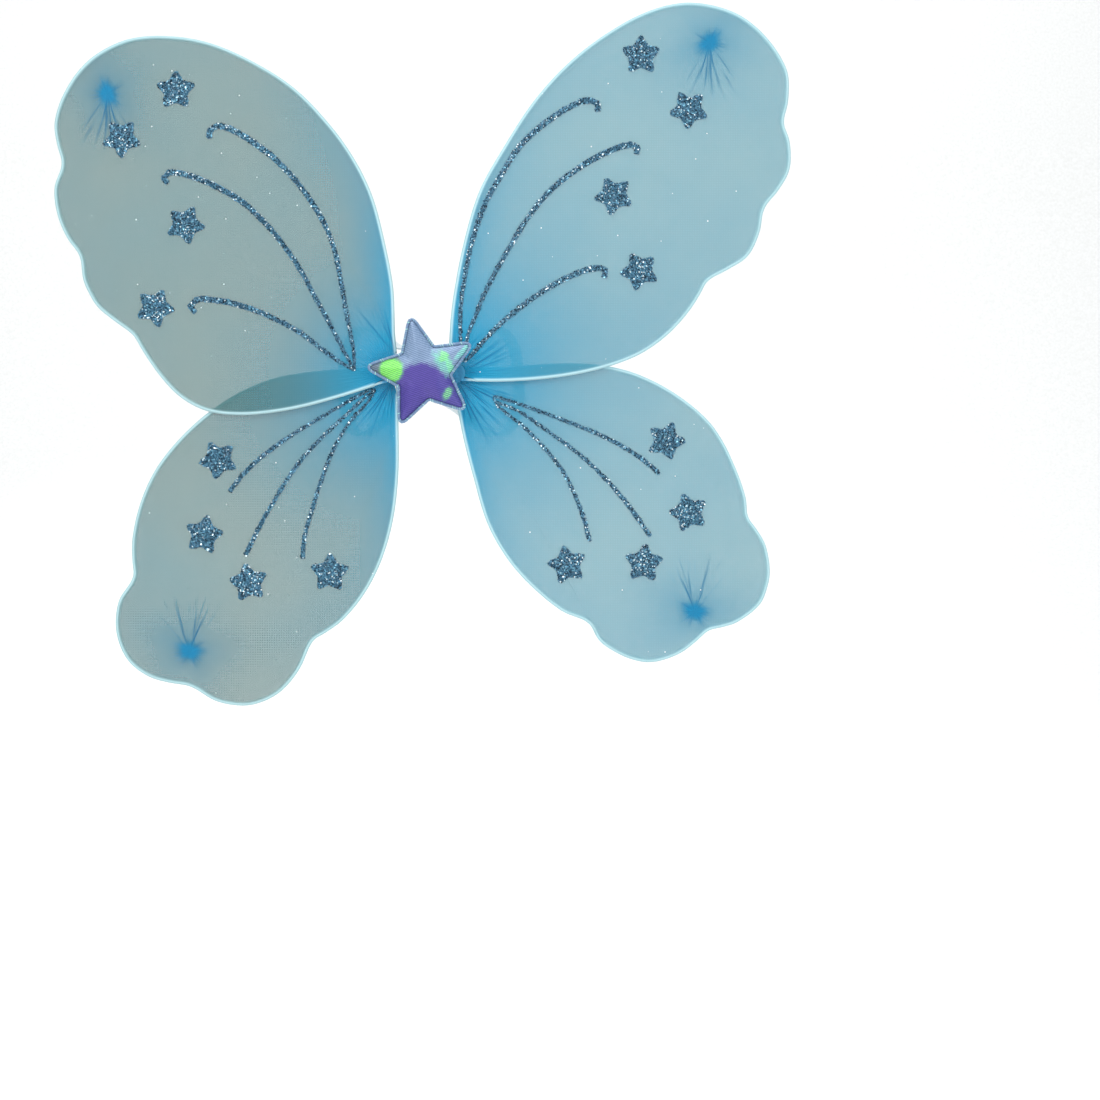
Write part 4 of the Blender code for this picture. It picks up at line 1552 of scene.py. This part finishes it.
    def build_knot(self) -> None:
        """The tuft behind the wing: nylon drawn through, tied and left to flare."""
        low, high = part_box(self.name + "_wing_knot")
        middle = np.array([(low.x + high.x) / 2, low.y, (low.z + high.z) / 2])
        height = high.y - low.y
        turn = np.linspace(0, 2 * math.pi, 72, endpoint=False)
        rings = []
        for rise, radius in TUFT_PROFILE:
            pleat = 1 + 0.13 * np.cos(13 * turn + 0.6) + 0.05 * np.sin(29 * turn)
            lift = height * rise + 0.25 * MM * rise * np.sin(5 * turn)
            across = radius * MM * pleat
            rings.append(np.stack([across * np.cos(turn), lift, across * np.sin(turn)], axis=1) + middle)
        shape = Shape()
        shape.add(skin(np.array(rings)))
        ring = thread_ring(self.tuft_waist, self.tuft_thread, 24)
        upright = np.array([[1.0, 0, 0], [0, 0, 1.0], [0, -1.0, 0]])
        for number, rise in enumerate(TUFT_TURNS):
            lean = np.array([[1, 0.05 * (number - 1), 0], [0, 1, 0], [0, 0, 1]])
            places = (middle + (0, height * rise, 0))[None]
            shape.add(stamped(ring, places, (upright @ lean)[None]), finish=1, glint=0.35 + 0.2 * number)
        settle(
            shape.build(self.name + "_tied_tuft"), self.body, [TUFT_NYLON, TIE_THREAD],
            [self.name + "_wing_knot"],
        )

    def build_glitter(self, node: str, suffix: str) -> None:
        """A patch of glitter: a low bed of glue with uneven edges, and flakes lying every way on it.

        Args:
            node: The CAD node that it stands for, whose outline it takes.
            suffix: What its name ends in.
        """
        outline = self.own(front_outline(node))
        shape = Shape()
        self.add_glitter(shape, outline)
        if "vein" in node:
            self.add_glitter(shape, self.vein_root(outline))
        settle(shape.build(f"{node}_{suffix}"), self.body, [GLITTER_GLUE, GLITTER_FLAKE], [node])

    def vein_root(self, outline: np.ndarray) -> np.ndarray:
        """The last stretch of a vein, which narrows from its square end to where the veins meet.

        Args:
            outline: The vein's edge in the wing's own plane.

        Returns:
            The stretch's four corners.
        """
        reach = np.hypot(outline[:, 0], outline[:, 1])
        end = int(np.argmin(reach + np.roll(reach, -1)))
        first, last = outline[end], outline[(end + 1) % len(outline)]
        meet = np.array(self.vein_meet) * MM
        half = (first - last) * 0.3
        return np.array([first, last, meet - half, meet + half])

    def add_glitter(self, shape: Shape, outline: np.ndarray) -> None:
        """Adds the glue and the flakes inside one outline.

        Args:
            shape: The piece that they are added to.
            outline: The patch's edge in the wing's own plane.
        """
        count = round(loop_length(outline) / self.glue_spacing)
        outline = grown(calmed(resample(outline, count, closed=True), 2), self.glue_swell)
        wobble = calmed(self.random.normal(0, self.glue_wobble, count))
        outline = outline + outer_normals(outline) * wobble[:, None]
        thick = self.glitter_top - self.glitter_base
        rings = [
            self.world(grown(outline, -inset * MM), -self.glitter_base - thick * rise)
            for inset, rise in GLUE_PROFILE
        ]
        shape.add(skin(np.array(rings)))
        low, high = outline.min(0), outline.max(0)
        grid = np.stack(np.meshgrid(*(np.arange(low[i], high[i], self.flake_pitch) for i in (0, 1))), axis=-1)
        spots = grid.reshape(-1, 2)
        spots = spots + self.random.uniform(-0.3, 0.3, spots.shape) * self.flake_pitch
        spots = spots[inside(spots, grown(outline, -self.flake_margin))]
        total = len(spots)
        if total == 0:  # A short, narrow stretch can be too small for any flake.
            return
        tilt = np.radians(self.flake_tilt) * np.sqrt(self.random.uniform(0, 1, total))
        lean = self.random.uniform(0, 2 * math.pi, total)
        facing = np.stack([np.sin(tilt) * np.cos(lean), -np.cos(tilt), np.sin(tilt) * np.sin(lean)], axis=1)
        across = unit(np.cross(facing, (0.3, 0.1, 1.0)))
        size = self.random.uniform(0.8, 1.2, total)[:, None, None]
        turns = np.stack([across, np.cross(facing, across), facing], axis=2) * size
        depth = -self.glitter_top - self.random.uniform(-0.05, 0.2, total) * MM
        flake = flake_pattern(self.flake_radius, self.flake_thickness)
        glint = np.repeat(self.random.uniform(0, 1, total), len(flake[0]))
        shape.add(stamped(flake, self.world(spots, depth), turns), finish=1, smooth=False, glint=glint)


# ---------------------------------------------------------------- roots
# The dip between two turns of tape, and the pleats over a column's ends, as shares of its half width.
TAPE_RIDGE = 0.06
END_PLEATS = 17
END_PLEAT = 0.04


def wound_column(
    middle: Sequence[float], half: Sequence[float], turn_height: float, dome: float, rows: int = 72
) -> Skin:
    """A column along Z with a rounded oblong section, ridged by the turns of tape round it.

    Args:
        middle: Its middle.
        half: Half its size along X, Y and Z.
        turn_height: The height of one turn of tape.
        dome: Over how much of its height each end rounds off.
        rows: How many rings it has.

    Returns:
        The points and the faces.
    """
    turn = np.linspace(0, 2 * math.pi, 64, endpoint=False)
    section = np.stack([np.cos(turn), np.sin(turn)], axis=1)
    section = np.sign(section) * np.abs(section) ** 0.5
    rings = []
    for step in np.linspace(-1.0, 1.0, rows):
        up = half[2] * math.sin(step * math.pi / 2)
        into = max(0.0, (abs(up) - half[2] + dome) / dome)
        end = math.sqrt(max(1 - into**2, 0.03))
        slant = up / turn_height + turn / (2 * math.pi)
        ridge = 1 - TAPE_RIDGE * np.abs(np.cos(math.pi * slant)) ** 6
        pleat = 1 + END_PLEAT * into * np.cos(END_PLEATS * turn)
        across = section * (ridge * pleat * end)[:, None]
        x, y = across[:, 0] * half[0], across[:, 1] * half[1]
        rings.append(np.stack([x, y, np.full(len(turn), up)], axis=1) + middle)
    return skin(np.array(rings))


@dataclass
class WingRoot:
    """A taped wing root: a wound spine, and two cheeks with the post between them that the wires turn on."""

    side: Side
    spine_width: float = 5.0 * MM
    cheek_radius: float = 6.0 * MM
    cheek_thickness: float = 1.0 * MM
    cheek_rounding: float = 0.3 * MM
    post_radius: float = 2.1 * MM
    post_rounding: float = 0.2 * MM
    tape_height: float = 3.0 * MM
    end_rounding: float = 1.2 * MM

    def build(self) -> None:
        """Makes the root's one piece."""
        name = self.side.name.lower()
        node = name + "_wing_binding"
        low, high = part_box(node)
        sign = self.side.value
        inner = min(sign * low.x, sign * high.x)
        outer = max(sign * low.x, sign * high.x)
        post_x = outer - self.cheek_radius
        half = (self.spine_width / 2, (high.y - low.y) / 2, (high.z - low.z) / 2)
        middle_y = (low.y + high.y) / 2
        shape = Shape()
        spine = (sign * (inner + self.spine_width / 2), middle_y, 0.0)
        shape.add(wound_column(spine, half, self.tape_height, self.end_rounding))
        for y in (low.y + self.cheek_thickness / 2, high.y - self.cheek_thickness / 2):
            cheek = disc_along_y(self.cheek_radius, self.cheek_thickness, (sign * post_x, y, 0.0))
            points, faces = picked_up(rounded(cheek, self.cheek_rounding))
            short = np.clip((post_x - sign * points[:, 0]) / self.cheek_radius, 0.0, 1.0)
            reach = post_x - inner - self.spine_width + self.cheek_thickness
            stretched = sign * (post_x - short * reach)
            points[:, 0] = np.where(short > 0, stretched, points[:, 0])
            shape.add((points, faces))
        post_length = high.y - low.y - self.cheek_thickness
        post = disc_along_y(self.post_radius, post_length, (sign * post_x, middle_y, 0.0))
        shape.add(picked_up(rounded(post, self.post_rounding)))
        settle(shape.build(name + "_taped_root"), name + "_root", [BINDING_TAPE], [node])


# ---------------------------------------------------------------- centre
# The felt's soft edge, from its front face to its back: how far in, in mm, and how deep, as a share.
FELT_PROFILE = (
    (2.0, 0.04), (0.7, 0.0), (0.25, 0.12), (0.0, 0.4), (0.0, 0.6), (0.25, 0.88), (0.7, 1.0), (2.0, 0.96),
)


@dataclass
class CentreBundle:
    """What the wings are bound to: a wound bundle, the felt pad behind it and the star's spot of glue."""

    tape_height: float = 3.1 * MM
    end_rounding: float = 2.6 * MM
    outline_spacing: float = 0.6 * MM
    stitch_pitch: float = 2.8 * MM
    stitch_bite: float = 1.7 * MM
    stitch_squareness: float = 0.65
    thread: float = 0.22 * MM

    def build(self) -> None:
        """Makes the bundle, the pad and the glue."""
        low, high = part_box("centre_binding")
        bundle = Shape()
        bundle.add(
            wound_column((low + high) / 2, (high - low) / 2, self.tape_height, self.end_rounding, rows=110)
        )
        settle(bundle.build("wound_centre_bundle"), "centre", [BINDING_TAPE], ["centre_binding"])
        self.build_pad()
        self.build_glue()

    def build_pad(self) -> None:
        """The felt pad, with soft edges and a blanket stitch all round."""
        low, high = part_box("back_pad")
        outline = smooth_line(front_outline("back_pad"), self.outline_spacing, closed=True)
        rings = []
        for inset, rise in FELT_PROFILE:
            ring = grown(outline, -inset * MM)
            rings.append(np.insert(ring, 1, low.y + (high.y - low.y) * rise, axis=1))
        pad = Shape()
        pad.add(skin(np.array(rings)))
        count = round(loop_length(outline) / self.stitch_pitch)
        half_bite = self.stitch_bite / 2
        places = resample(grown(outline, -half_bite), count, closed=True)
        normals = outer_normals(places)
        outer = np.stack([normals[:, 0], np.zeros(count), normals[:, 1]], axis=1)
        depth = np.broadcast_to((0.0, 1.0, 0.0), outer.shape)
        half_depth = (high.y - low.y) / 2 + self.thread
        turns = np.stack([outer * half_bite, depth * half_depth, np.cross(outer, depth) * half_bite], axis=2)
        ring = thread_ring(1.0, self.thread / half_bite, 20)
        corners = ring[0]
        reach = np.hypot(corners[:, 0], corners[:, 1])
        square = np.abs(corners[:, :2]).max(1) / np.maximum(reach, 1e-9)
        # A stitch lies flat on both faces of the felt, so its ring is drawn out towards a square.
        corners[:, :2] /= (1 - self.stitch_squareness + self.stitch_squareness * square)[:, None]
        middle = np.insert(places, 1, (low.y + high.y) / 2, axis=1)
        glint = np.repeat(np.random.default_rng(5).uniform(0.3, 1.0, count), len(corners))
        pad.add(stamped(ring, middle, turns), finish=1, glint=glint)
        felt = settle(pad.build("felt_back_pad"), "centre", [PAD_FELT, TIE_THREAD], ["back_pad"])

    def build_glue(self) -> None:
        """The glue spot, pressed out where it meets the bundle and the star."""
        low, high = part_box("star_glue_spot")
        radius = (high.x - low.x) / 2
        turn = np.linspace(0, 2 * math.pi, 48, endpoint=False)
        rings = []
        for share in np.linspace(0, 1, 15):
            waist = 0.78 + 0.22 * abs(2 * share - 1) ** 2.5
            edge = min(1.0, 0.86 + 2.4 * min(share, 1 - share))
            lumps = 1 + 0.05 * np.sin(3 * turn + 4 * share) + 0.03 * np.sin(7 * turn)
            across = radius * waist * edge * lumps
            y = np.full(len(turn), low.y + (high.y - low.y) * share)
            rings.append(np.stack([across * np.cos(turn), y, across * np.sin(turn)], axis=1))
        glue = Shape()
        glue.add(skin(np.array(rings)))
        settle(glue.build("hot_glue_spot"), "centre", [STAR_GLUE], ["star_glue_spot"])


@dataclass(frozen=True)
class FilmFold:
    """A soft fold across the film, in millimetres: its height is a share of the star's."""

    rise: float
    slope: float
    at: float
    width: float
    middle: float
    spread: float

    def height(self, x: np.ndarray, z: np.ndarray) -> np.ndarray:
        """How high the fold is at each point. It runs along z = slope * x + at and fades from its middle."""
        across = np.exp(-(((z - self.slope * x - self.at) / self.width) ** 2))
        return self.rise * across * np.exp(-((x - self.middle) ** 2) / self.spread)


FILM_FOLDS = (
    FilmFold(0.05, slope=0.5, at=4.0, width=1.6, middle=8.0, spread=90.0),
    FilmFold(-0.06, slope=-0.9, at=-12.0, width=1.8, middle=-9.0, spread=60.0),
)


@dataclass
class CentreStar:
    """The stuffed star: film cover, wadding, knit back and the overlocked edge that joins them."""

    radius: float = 35.8 * MM
    waist: float = 18.3 * MM
    turned: float = 12.5
    roundness: float = 0.3
    around: int = 280
    rings: int = 46
    full_at: float = 11.0 * MM
    cover: float = 0.3 * MM
    edge_radius: float = 0.9 * MM
    stitch_pitch: float = 1.45 * MM
    thread: float = 0.17 * MM
    pucker: float = 0.22 * MM
    puckers: int = 52
    pucker_inset: float = 1.6 * MM
    pucker_length: float = 1.5 * MM
    film_slack: float = 1.12

    def __post_init__(self) -> None:
        """Lays out the edge and the seam inside it, and reads the heights from the frame."""
        self.edge = self.star(self.edge_radius)
        self.outline = resample(grown(self.edge, -self.edge_radius), self.around, True)
        low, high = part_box("star_front_cover")
        self.base, self.crown = high.y, high.y - low.y

    def star(self, move_in: float) -> np.ndarray:
        """A five-pointed outline with rounded tips.

        Args:
            move_in: How far its sides are moved in.

        Returns:
            Evenly spread points round the outline.
        """
        tenth = math.pi / 5
        waist_reach = self.waist * math.cos(tenth)
        sharp = (self.radius - 0.5 * self.roundness * waist_reach) / (1 - 0.5 * self.roundness)
        half_tip = math.atan2(self.waist * math.sin(tenth), sharp - waist_reach)
        reach = (sharp - move_in / math.sin(half_tip), self.waist - move_in / math.sin(half_tip + tenth))
        angle = math.radians(self.turned + 90) + tenth * np.arange(10)
        corners = np.stack([np.cos(angle), np.sin(angle)], axis=1) * np.resize(reach, 10)[:, None]
        line = []
        for i in range(0, 10, 2):
            start = corners[i] + (corners[i - 1] - corners[i]) * self.roundness
            end = corners[i] + (corners[i + 1] - corners[i]) * self.roundness
            t = np.linspace(0, 1, 13)[:, None]
            line += [start * (1 - t) ** 2 + corners[i] * 2 * t * (1 - t) + end * t**2, corners[i + 1][None]]
        return calmed(resample(np.vstack(line), 900, closed=True), 12)

    def build(self) -> None:
        """Makes the star's four pieces."""
        self.build_cover()
        self.build_wadding()
        self.build_back()
        self.build_edge()

    def heights(self, flat: np.ndarray) -> np.ndarray:
        """How high the stuffed star stands: steep at the seam, full in the middle.

        Args:
            flat: Points by ring and by place round the ring, as x and z.

        Returns:
            The height at each, as a share of the full height.
        """
        from_edge = distance_to(flat.reshape(-1, 2), self.outline, closed=True).reshape(flat.shape[:2])
        share = np.clip(from_edge / self.full_at, 0.0, 1.0)
        height = (1 - (1 - share) ** 2) ** 0.66
        for _ in range(14):
            calm = height.copy()
            beside = np.roll(height, 1, 1)[1:-1], np.roll(height, -1, 1)[1:-1]
            calm[1:-1] = (height[:-2] + height[2:] + beside[0] + beside[1]) / 4
            calm[-1] = height[-2].mean()
            keep = np.clip(share * 3, 0.0, 1.0)
            height = height * (1 - keep) + calm * keep
        run = np.arange(self.around) / self.around
        tucks = np.sin(2 * math.pi * self.puckers * run + 2.5 * np.sin(2 * math.pi * 5 * run))
        near_seam = np.exp(-((from_edge - self.pucker_inset) ** 2) / self.pucker_length**2)
        tucks = self.pucker / self.crown * tucks * near_seam
        x, z = flat[..., 0] / MM, flat[..., 1] / MM
        folds = sum(fold.height(x, z) for fold in FILM_FOLDS)
        return np.clip(height + (tucks + folds) * np.clip(share * 4, 0.0, 1.0), 0.0, None)

    def dome(self, inset: float, rise: float, lowered: float) -> np.ndarray:
        """Rings of a stuffed star's surface, from its seam to its middle.

        Args:
            inset: How far in from the seam it starts.
            rise: Its share of the full height.
            lowered: How far it is set towards the back.

        Returns:
            Points by ring and by place round the ring.
        """
        start = grown(self.outline, -inset)
        share = 1 - np.linspace(0.0, 1.0, self.rings) ** 1.25 * 0.985
        flat = start[None] * share[:, None, None]
        y = self.base - np.maximum(self.heights(flat) * rise * self.crown - lowered, 0.0)
        return np.stack([flat[..., 0], y, flat[..., 1]], axis=-1)

    def build_cover(self) -> None:
        """The film: one thin skin over the wadding."""
        outer = self.dome(0.0, 1.0, 0.0)
        inner = self.dome(self.cover, 1.0, self.cover * 1.3)
        points, faces = skin(np.concatenate([outer[::-1], inner]))
        shape = Shape()
        shape.add((points, faces))
        cover = settle(
            shape.build("film_front_cover"), "centre", [STAR_FILM], ["star_front_cover"]
        )

    def build_wadding(self) -> None:
        """The filling, a little smaller than the cover all over."""
        dome = self.dome(3 * self.cover, 0.97, 3.2 * self.cover)
        shape = Shape()
        shape.add(skin(dome))
        wadding = settle(shape.build("wadding_star"), "centre", [WADDING], ["star_padding"])

    def build_back(self) -> None:
        """The knit back, flat and faintly cushioned."""
        low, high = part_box("star_back_cover")
        share = 1 - np.linspace(0.0, 1.0, 16) * 0.98
        flat = self.outline[None] * share[:, None, None]
        y = high.y + 0.25 * MM * (1 - share) - (high.y - low.y) * 0.3 * (share > 0.999)
        back = np.stack([flat[..., 0], np.broadcast_to(y[:, None], flat.shape[:2]), flat[..., 1]], axis=-1)
        front = back[::-1].copy()
        front[..., 1] = low.y
        shape = Shape()
        shape.add(skin(np.concatenate([front, back])))
        cover = settle(
            shape.build("knit_back_cover"), "centre", [STAR_BACKING], ["star_back_cover"]
        )

    def build_edge(self) -> None:
        """The rolled edge, with a thread taken round it at every stitch."""
        low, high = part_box("star_stitched_edge")
        middle_y = (low.y + high.y) / 2
        path = self.edge
        length = loop_length(path)
        path = np.insert(resample(path, 360, closed=True), 1, middle_y, axis=1)
        shape = Shape()
        shape.add(tube(path, self.edge_radius, (0, 1, 0), 12, closed=True), glint=0.25)
        count = round(length / self.stitch_pitch)
        places = resample(path, count, closed=True)
        along = unit(np.roll(places, -1, 0) - np.roll(places, 1, 0))
        depth = np.broadcast_to((0.0, 1.0, 0.0), along.shape)
        across = unit(np.cross(along, depth))
        lean = unit(along + 0.35 * across)
        turns = np.stack([unit(np.cross(depth, lean)), depth, lean], axis=2)
        ring = thread_ring(self.edge_radius + 0.45 * self.thread, self.thread)
        glint = np.repeat(np.random.default_rng(11).uniform(0, 1, count), len(ring[0]))
        shape.add(stamped(ring, places, turns), glint=glint)
        settle(shape.build("overlocked_edge"), "centre", [EDGE_THREAD], ["star_stitched_edge"])


# ---------------------------------------------------------------- straps
# A strap's middle line in mm, from its upper sewn end to its lower one: outward, towards the wearer, and up.
# It is moved across so that both its ends stand in line with its hinge.
STRAP_ROUTE = (
    (5.0, 0.0, 3.0), (5.0, 0.0, 9.0), (5.0, 0.0, 14.0), (5.6, 2.5, 16.6), (8, 9, 17.2), (13, 20, 17.5),
    (21, 34, 21), (33, 53, 31), (45, 73, 35), (54, 90, 26), (58, 97, 8), (58, 97, -10), (54, 90, -27),
    (45, 73, -35), (33, 53, -31), (21, 34, -21.5), (13, 20, -17.5), (8, 9, -17.2), (5.6, 2.5, -16.6),
    (5.0, 0.0, -14.0), (5.0, 0.0, -9.0), (5.0, 0.0, -3.0),
)


@dataclass
class ShoulderStrap:
    """An elastic shoulder strap, gathered and whipped with thread at both sewn ends."""

    side: Side
    width: float = 8.0 * MM
    thickness: float = 1.2 * MM
    gathered_width: float = 2.7 * MM
    gathered_thickness: float = 1.0 * MM
    gathered_length: float = 11.0 * MM
    widening: float = 16.0 * MM
    spacing: float = 0.6 * MM
    ribs: int = 7
    rib_depth: float = 0.16
    pucker: float = 0.1 * MM
    puckers: int = 5
    thread: float = 0.24 * MM
    thread_spacing: float = 0.35 * MM
    turns: int = 5

    def build(self) -> None:
        """Makes the strap and its two whippings."""
        name = self.side.name.lower()
        self.body = name + "_strap"
        root = joint_place(self.body)
        start = STRAP_ROUTE[0][0]
        points = [(self.side.value * (x - start) * MM, y * MM, z * MM) for x, y, z in STRAP_ROUTE]
        self.build_webbing(name, smooth_line(np.array(points) + root, self.spacing))
        for label, up in (("upper", 1), ("lower", -1)):
            self.build_whipping(f"{name}_strap_{label}_whipping", f"{name}_{label}_thread_whipping", up)

    def build_webbing(self, name: str, route: np.ndarray) -> None:
        """The band itself, ribbed lengthwise and puckered into its gathered ends.

        Args:
            name: The side's name.
            route: The band's middle line.
        """
        step = np.linalg.norm(np.diff(route, axis=0), axis=1)
        walked = np.concatenate([[0.0], np.cumsum(step)])
        from_end = np.minimum(walked, walked[-1] - walked)
        share = np.clip((from_end - self.gathered_length) / self.widening, 0, 1)
        spread = share * share * (3 - 2 * share)
        half_width = (self.gathered_width + (self.width - self.gathered_width) * spread) / 2
        half_thick = (self.gathered_thickness + (self.thickness - self.gathered_thickness) * spread) / 2
        along = unit(np.gradient(route, axis=0))
        across = unit(np.array([1.0, 0, 0]) - along * along[:, :1])
        out = np.cross(along, across)
        place = np.linspace(-1, 1, 29)
        rounding = np.sqrt(np.clip(1 - np.abs(place) ** 8, 0.04, 1))
        rib = 0.5 + 0.5 * np.cos(math.pi * (place + 1) * self.ribs + math.pi)
        level = rounding * (1 - self.rib_depth + self.rib_depth * rib)
        around = np.concatenate([place, place[::-1]])
        height = np.concatenate([level, -level[::-1]])
        pucker = self.pucker * (1 - spread) * np.clip(share * 20 + 0.2, 0, 1)
        fold = np.cos(math.pi * self.puckers * around)[None] * pucker[:, None]
        rings = (
            route[:, None]
            + across[:, None] * (around[None] * half_width[:, None])[..., None]
            + out[:, None] * (height[None] * half_thick[:, None] + fold)[..., None]
        )
        shape = Shape()
        both_faces = np.concatenate([rib, rib[::-1]])
        shape.add(skin(rings), along=np.repeat(walked, len(around)), rib=np.tile(both_faces, len(route)))
        settle(
            shape.build(name + "_elastic_strap"), self.body, [STRAP_ELASTIC],
            [name + "_shoulder_strap"],
        )

    def build_whipping(self, node: str, name: str, up: int) -> None:
        """Thread wound tight round a gathered end.

        Args:
            node: The CAD node that it stands for.
            name: The piece's name.
            up: 1 for the upper end, -1 for the lower.
        """
        low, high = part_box(node)
        turn = np.linspace(0, 2 * math.pi * self.turns, 48 * self.turns)
        half = ((high.x - low.x) / 2 - self.thread, (high.y - low.y) / 2 - self.thread)
        middle = (low + high) / 2
        oblong = [np.sign(f(turn)) * np.abs(f(turn)) ** 0.6 for f in (np.cos, np.sin)]
        rise = np.linspace(-1, 1, len(turn)) * ((high.z - low.z) / 2 - self.thread) * up
        x, y = middle.x + half[0] * oblong[0], middle.y + half[1] * oblong[1]
        path = np.stack([x, y, middle.z + rise], axis=1)
        path = smooth_line(path[::3], self.thread_spacing)
        shape = Shape()
        shape.add(tube(path, self.thread, (0, 0, 1), 8), glint=0.6)
        settle(shape.build(name), self.body, [TIE_THREAD], [node])


# ---------------------------------------------------------------- studio
@dataclass(frozen=True)
class SoftLight:
    """A soft square light. It faces the aim; its size is its side in metres, and its power is in watts."""

    name: str
    place: tuple[float, float, float]
    aim: tuple[float, float, float]
    size: float
    power: float

    def build(self) -> None:
        """Adds the light to the scene."""
        light = bpy.data.lights.new(self.name, "AREA")
        light.size = self.size
        light.energy = self.power
        obj = bpy.data.objects.new(self.name, light)
        bpy.context.scene.collection.objects.link(obj)
        obj.location = self.place
        way = np.array(self.place, float) - np.array(self.aim, float)
        level = math.hypot(way[0], way[1])
        obj.rotation_euler = (math.atan2(level, way[2]), 0.0, math.atan2(way[0], -way[1]))


STUDIO_LIGHTS = (
    SoftLight("key", place=(-0.9, -1.5, 1.1), aim=(0.0, 0.0, 0.0), size=1.2, power=17.0),
    SoftLight("fill", place=(1.3, -1.4, 0.3), aim=(0.0, 0.0, -0.05), size=1.4, power=9.0),
    SoftLight("top", place=(0.0, 0.05, 1.9), aim=(0.0, 0.7, 0.0), size=1.6, power=20.0),
    SoftLight("paper", place=(0.0, 1.5, 1.9), aim=(0.0, 2.6, 0.2), size=1.6, power=13.0),
    SoftLight("rear", place=(-0.5, 2.0, 1.0), aim=(0.0, 0.0, 0.0), size=1.0, power=9.0),
)


@dataclass
class Studio:
    """A pale paper sweep, soft lights and the camera."""

    floor: float = -0.42
    wall: float = 2.6
    half_width: float = 4.0
    front: float = -3.5
    sweep_radius: float = 1.0
    top: float = 3.0
    camera_place: tuple[float, float, float] = (0.0791, -1.6, -0.1106)
    view_width: float = 0.693
    sensor: float = 36.0
    world_colour: int = 0xF4F8FC
    world_strength: float = 0.55

    def build(self) -> None:
        """Makes the sweep, the lights, the world and the camera."""
        self.build_sweep()
        for light in STUDIO_LIGHTS:
            light.build()
        scene = bpy.context.scene
        world = bpy.data.worlds.new("Soft studio")
        world.use_nodes = True
        background = world.node_tree.nodes["Background"]
        background.inputs["Color"].default_value = rgb(self.world_colour)
        background.inputs["Strength"].default_value = self.world_strength
        scene.world = world
        scene.view_settings.view_transform = "Standard"
        camera = bpy.data.cameras.new("Camera")
        camera.sensor_width = self.sensor
        camera.lens = self.sensor * -self.camera_place[1] / self.view_width
        obj = bpy.data.objects.new("Camera", camera)
        obj.location = self.camera_place
        obj.rotation_euler = (math.pi / 2, 0.0, 0.0)
        scene.collection.objects.link(obj)
        scene.camera = obj

    def build_sweep(self) -> None:
        """One sheet of paper: the floor, and the wall that it curves up into."""
        turn = np.radians(np.linspace(0, 90, 25))
        bend_y = self.wall - self.sweep_radius + self.sweep_radius * np.sin(turn)
        bend_z = self.floor + self.sweep_radius * (1 - np.cos(turn))
        y = np.concatenate([[self.front], bend_y, [self.wall]])
        z = np.concatenate([[self.floor], bend_z, [self.top]])
        points = [(x, b, c) for x in (-self.half_width, self.half_width) for b, c in zip(y, z)]
        count = len(y)
        faces = [(i, i + count, i + count + 1, i + 1) for i in range(count - 1)]
        mesh = bpy.data.meshes.new("paper_sweep")
        mesh.from_pydata(points, [], faces)
        mesh.polygons.foreach_set("use_smooth", [True] * len(faces))
        mesh.materials.append(BACKDROP.material())
        obj = bpy.data.objects.new("paper_sweep", mesh)
        bpy.context.scene.collection.objects.link(obj)


WINGS = (
    Wing(
        Tier.UPPER, Side.LEFT,
        root_fans=(CreaseFan(-2.6, 12, aim=64, half_spread=22, near=9, far=42, pitch=4.0),),
        vein_meet=(23, 1.5), dye_reach=52 * MM, edge_dye_reach=130 * MM, seed=21,
    ),
    Wing(
        Tier.UPPER, Side.RIGHT,
        root_fans=(
            CreaseFan(2, -1, aim=24, half_spread=16, near=12, far=46, pitch=6.0, strength=0.9),
            CreaseFan(0, 8, aim=60, half_spread=22, near=10, far=34, pitch=5.5, strength=0.4),
        ),
        vein_meet=(4.5, 7.0), dye_reach=68 * MM, edge_dye_reach=125 * MM, seed=22,
    ),
    Wing(
        Tier.LOWER, Side.LEFT,
        root_fans=(CreaseFan(-1, -4, aim=-70, half_spread=24, near=10, far=46, pitch=3.6),),
        vein_meet=(10, -10), dye_reach=64 * MM, edge_dye_reach=105 * MM, seed=23,
    ),
    Wing(
        Tier.LOWER, Side.RIGHT,
        root_fans=(CreaseFan(1, -4, aim=-50, half_spread=36, near=12, far=52, pitch=4.4),),
        vein_meet=(23, -15.5), dye_reach=66 * MM, edge_dye_reach=105 * MM, seed=24,
    ),
)


def main() -> None:
    """Builds every sub-assembly in order."""
    logging.basicConfig(level=logging.INFO, format="%(name)s %(message)s")
    Studio().build()
    for wing in WINGS:
        wing.build()
    for side in Side:
        WingRoot(side).build()
    CentreBundle().build()
    CentreStar().build()
    for side in Side:
        ShoulderStrap(side).build()


if __name__ == "__main__":
    main()
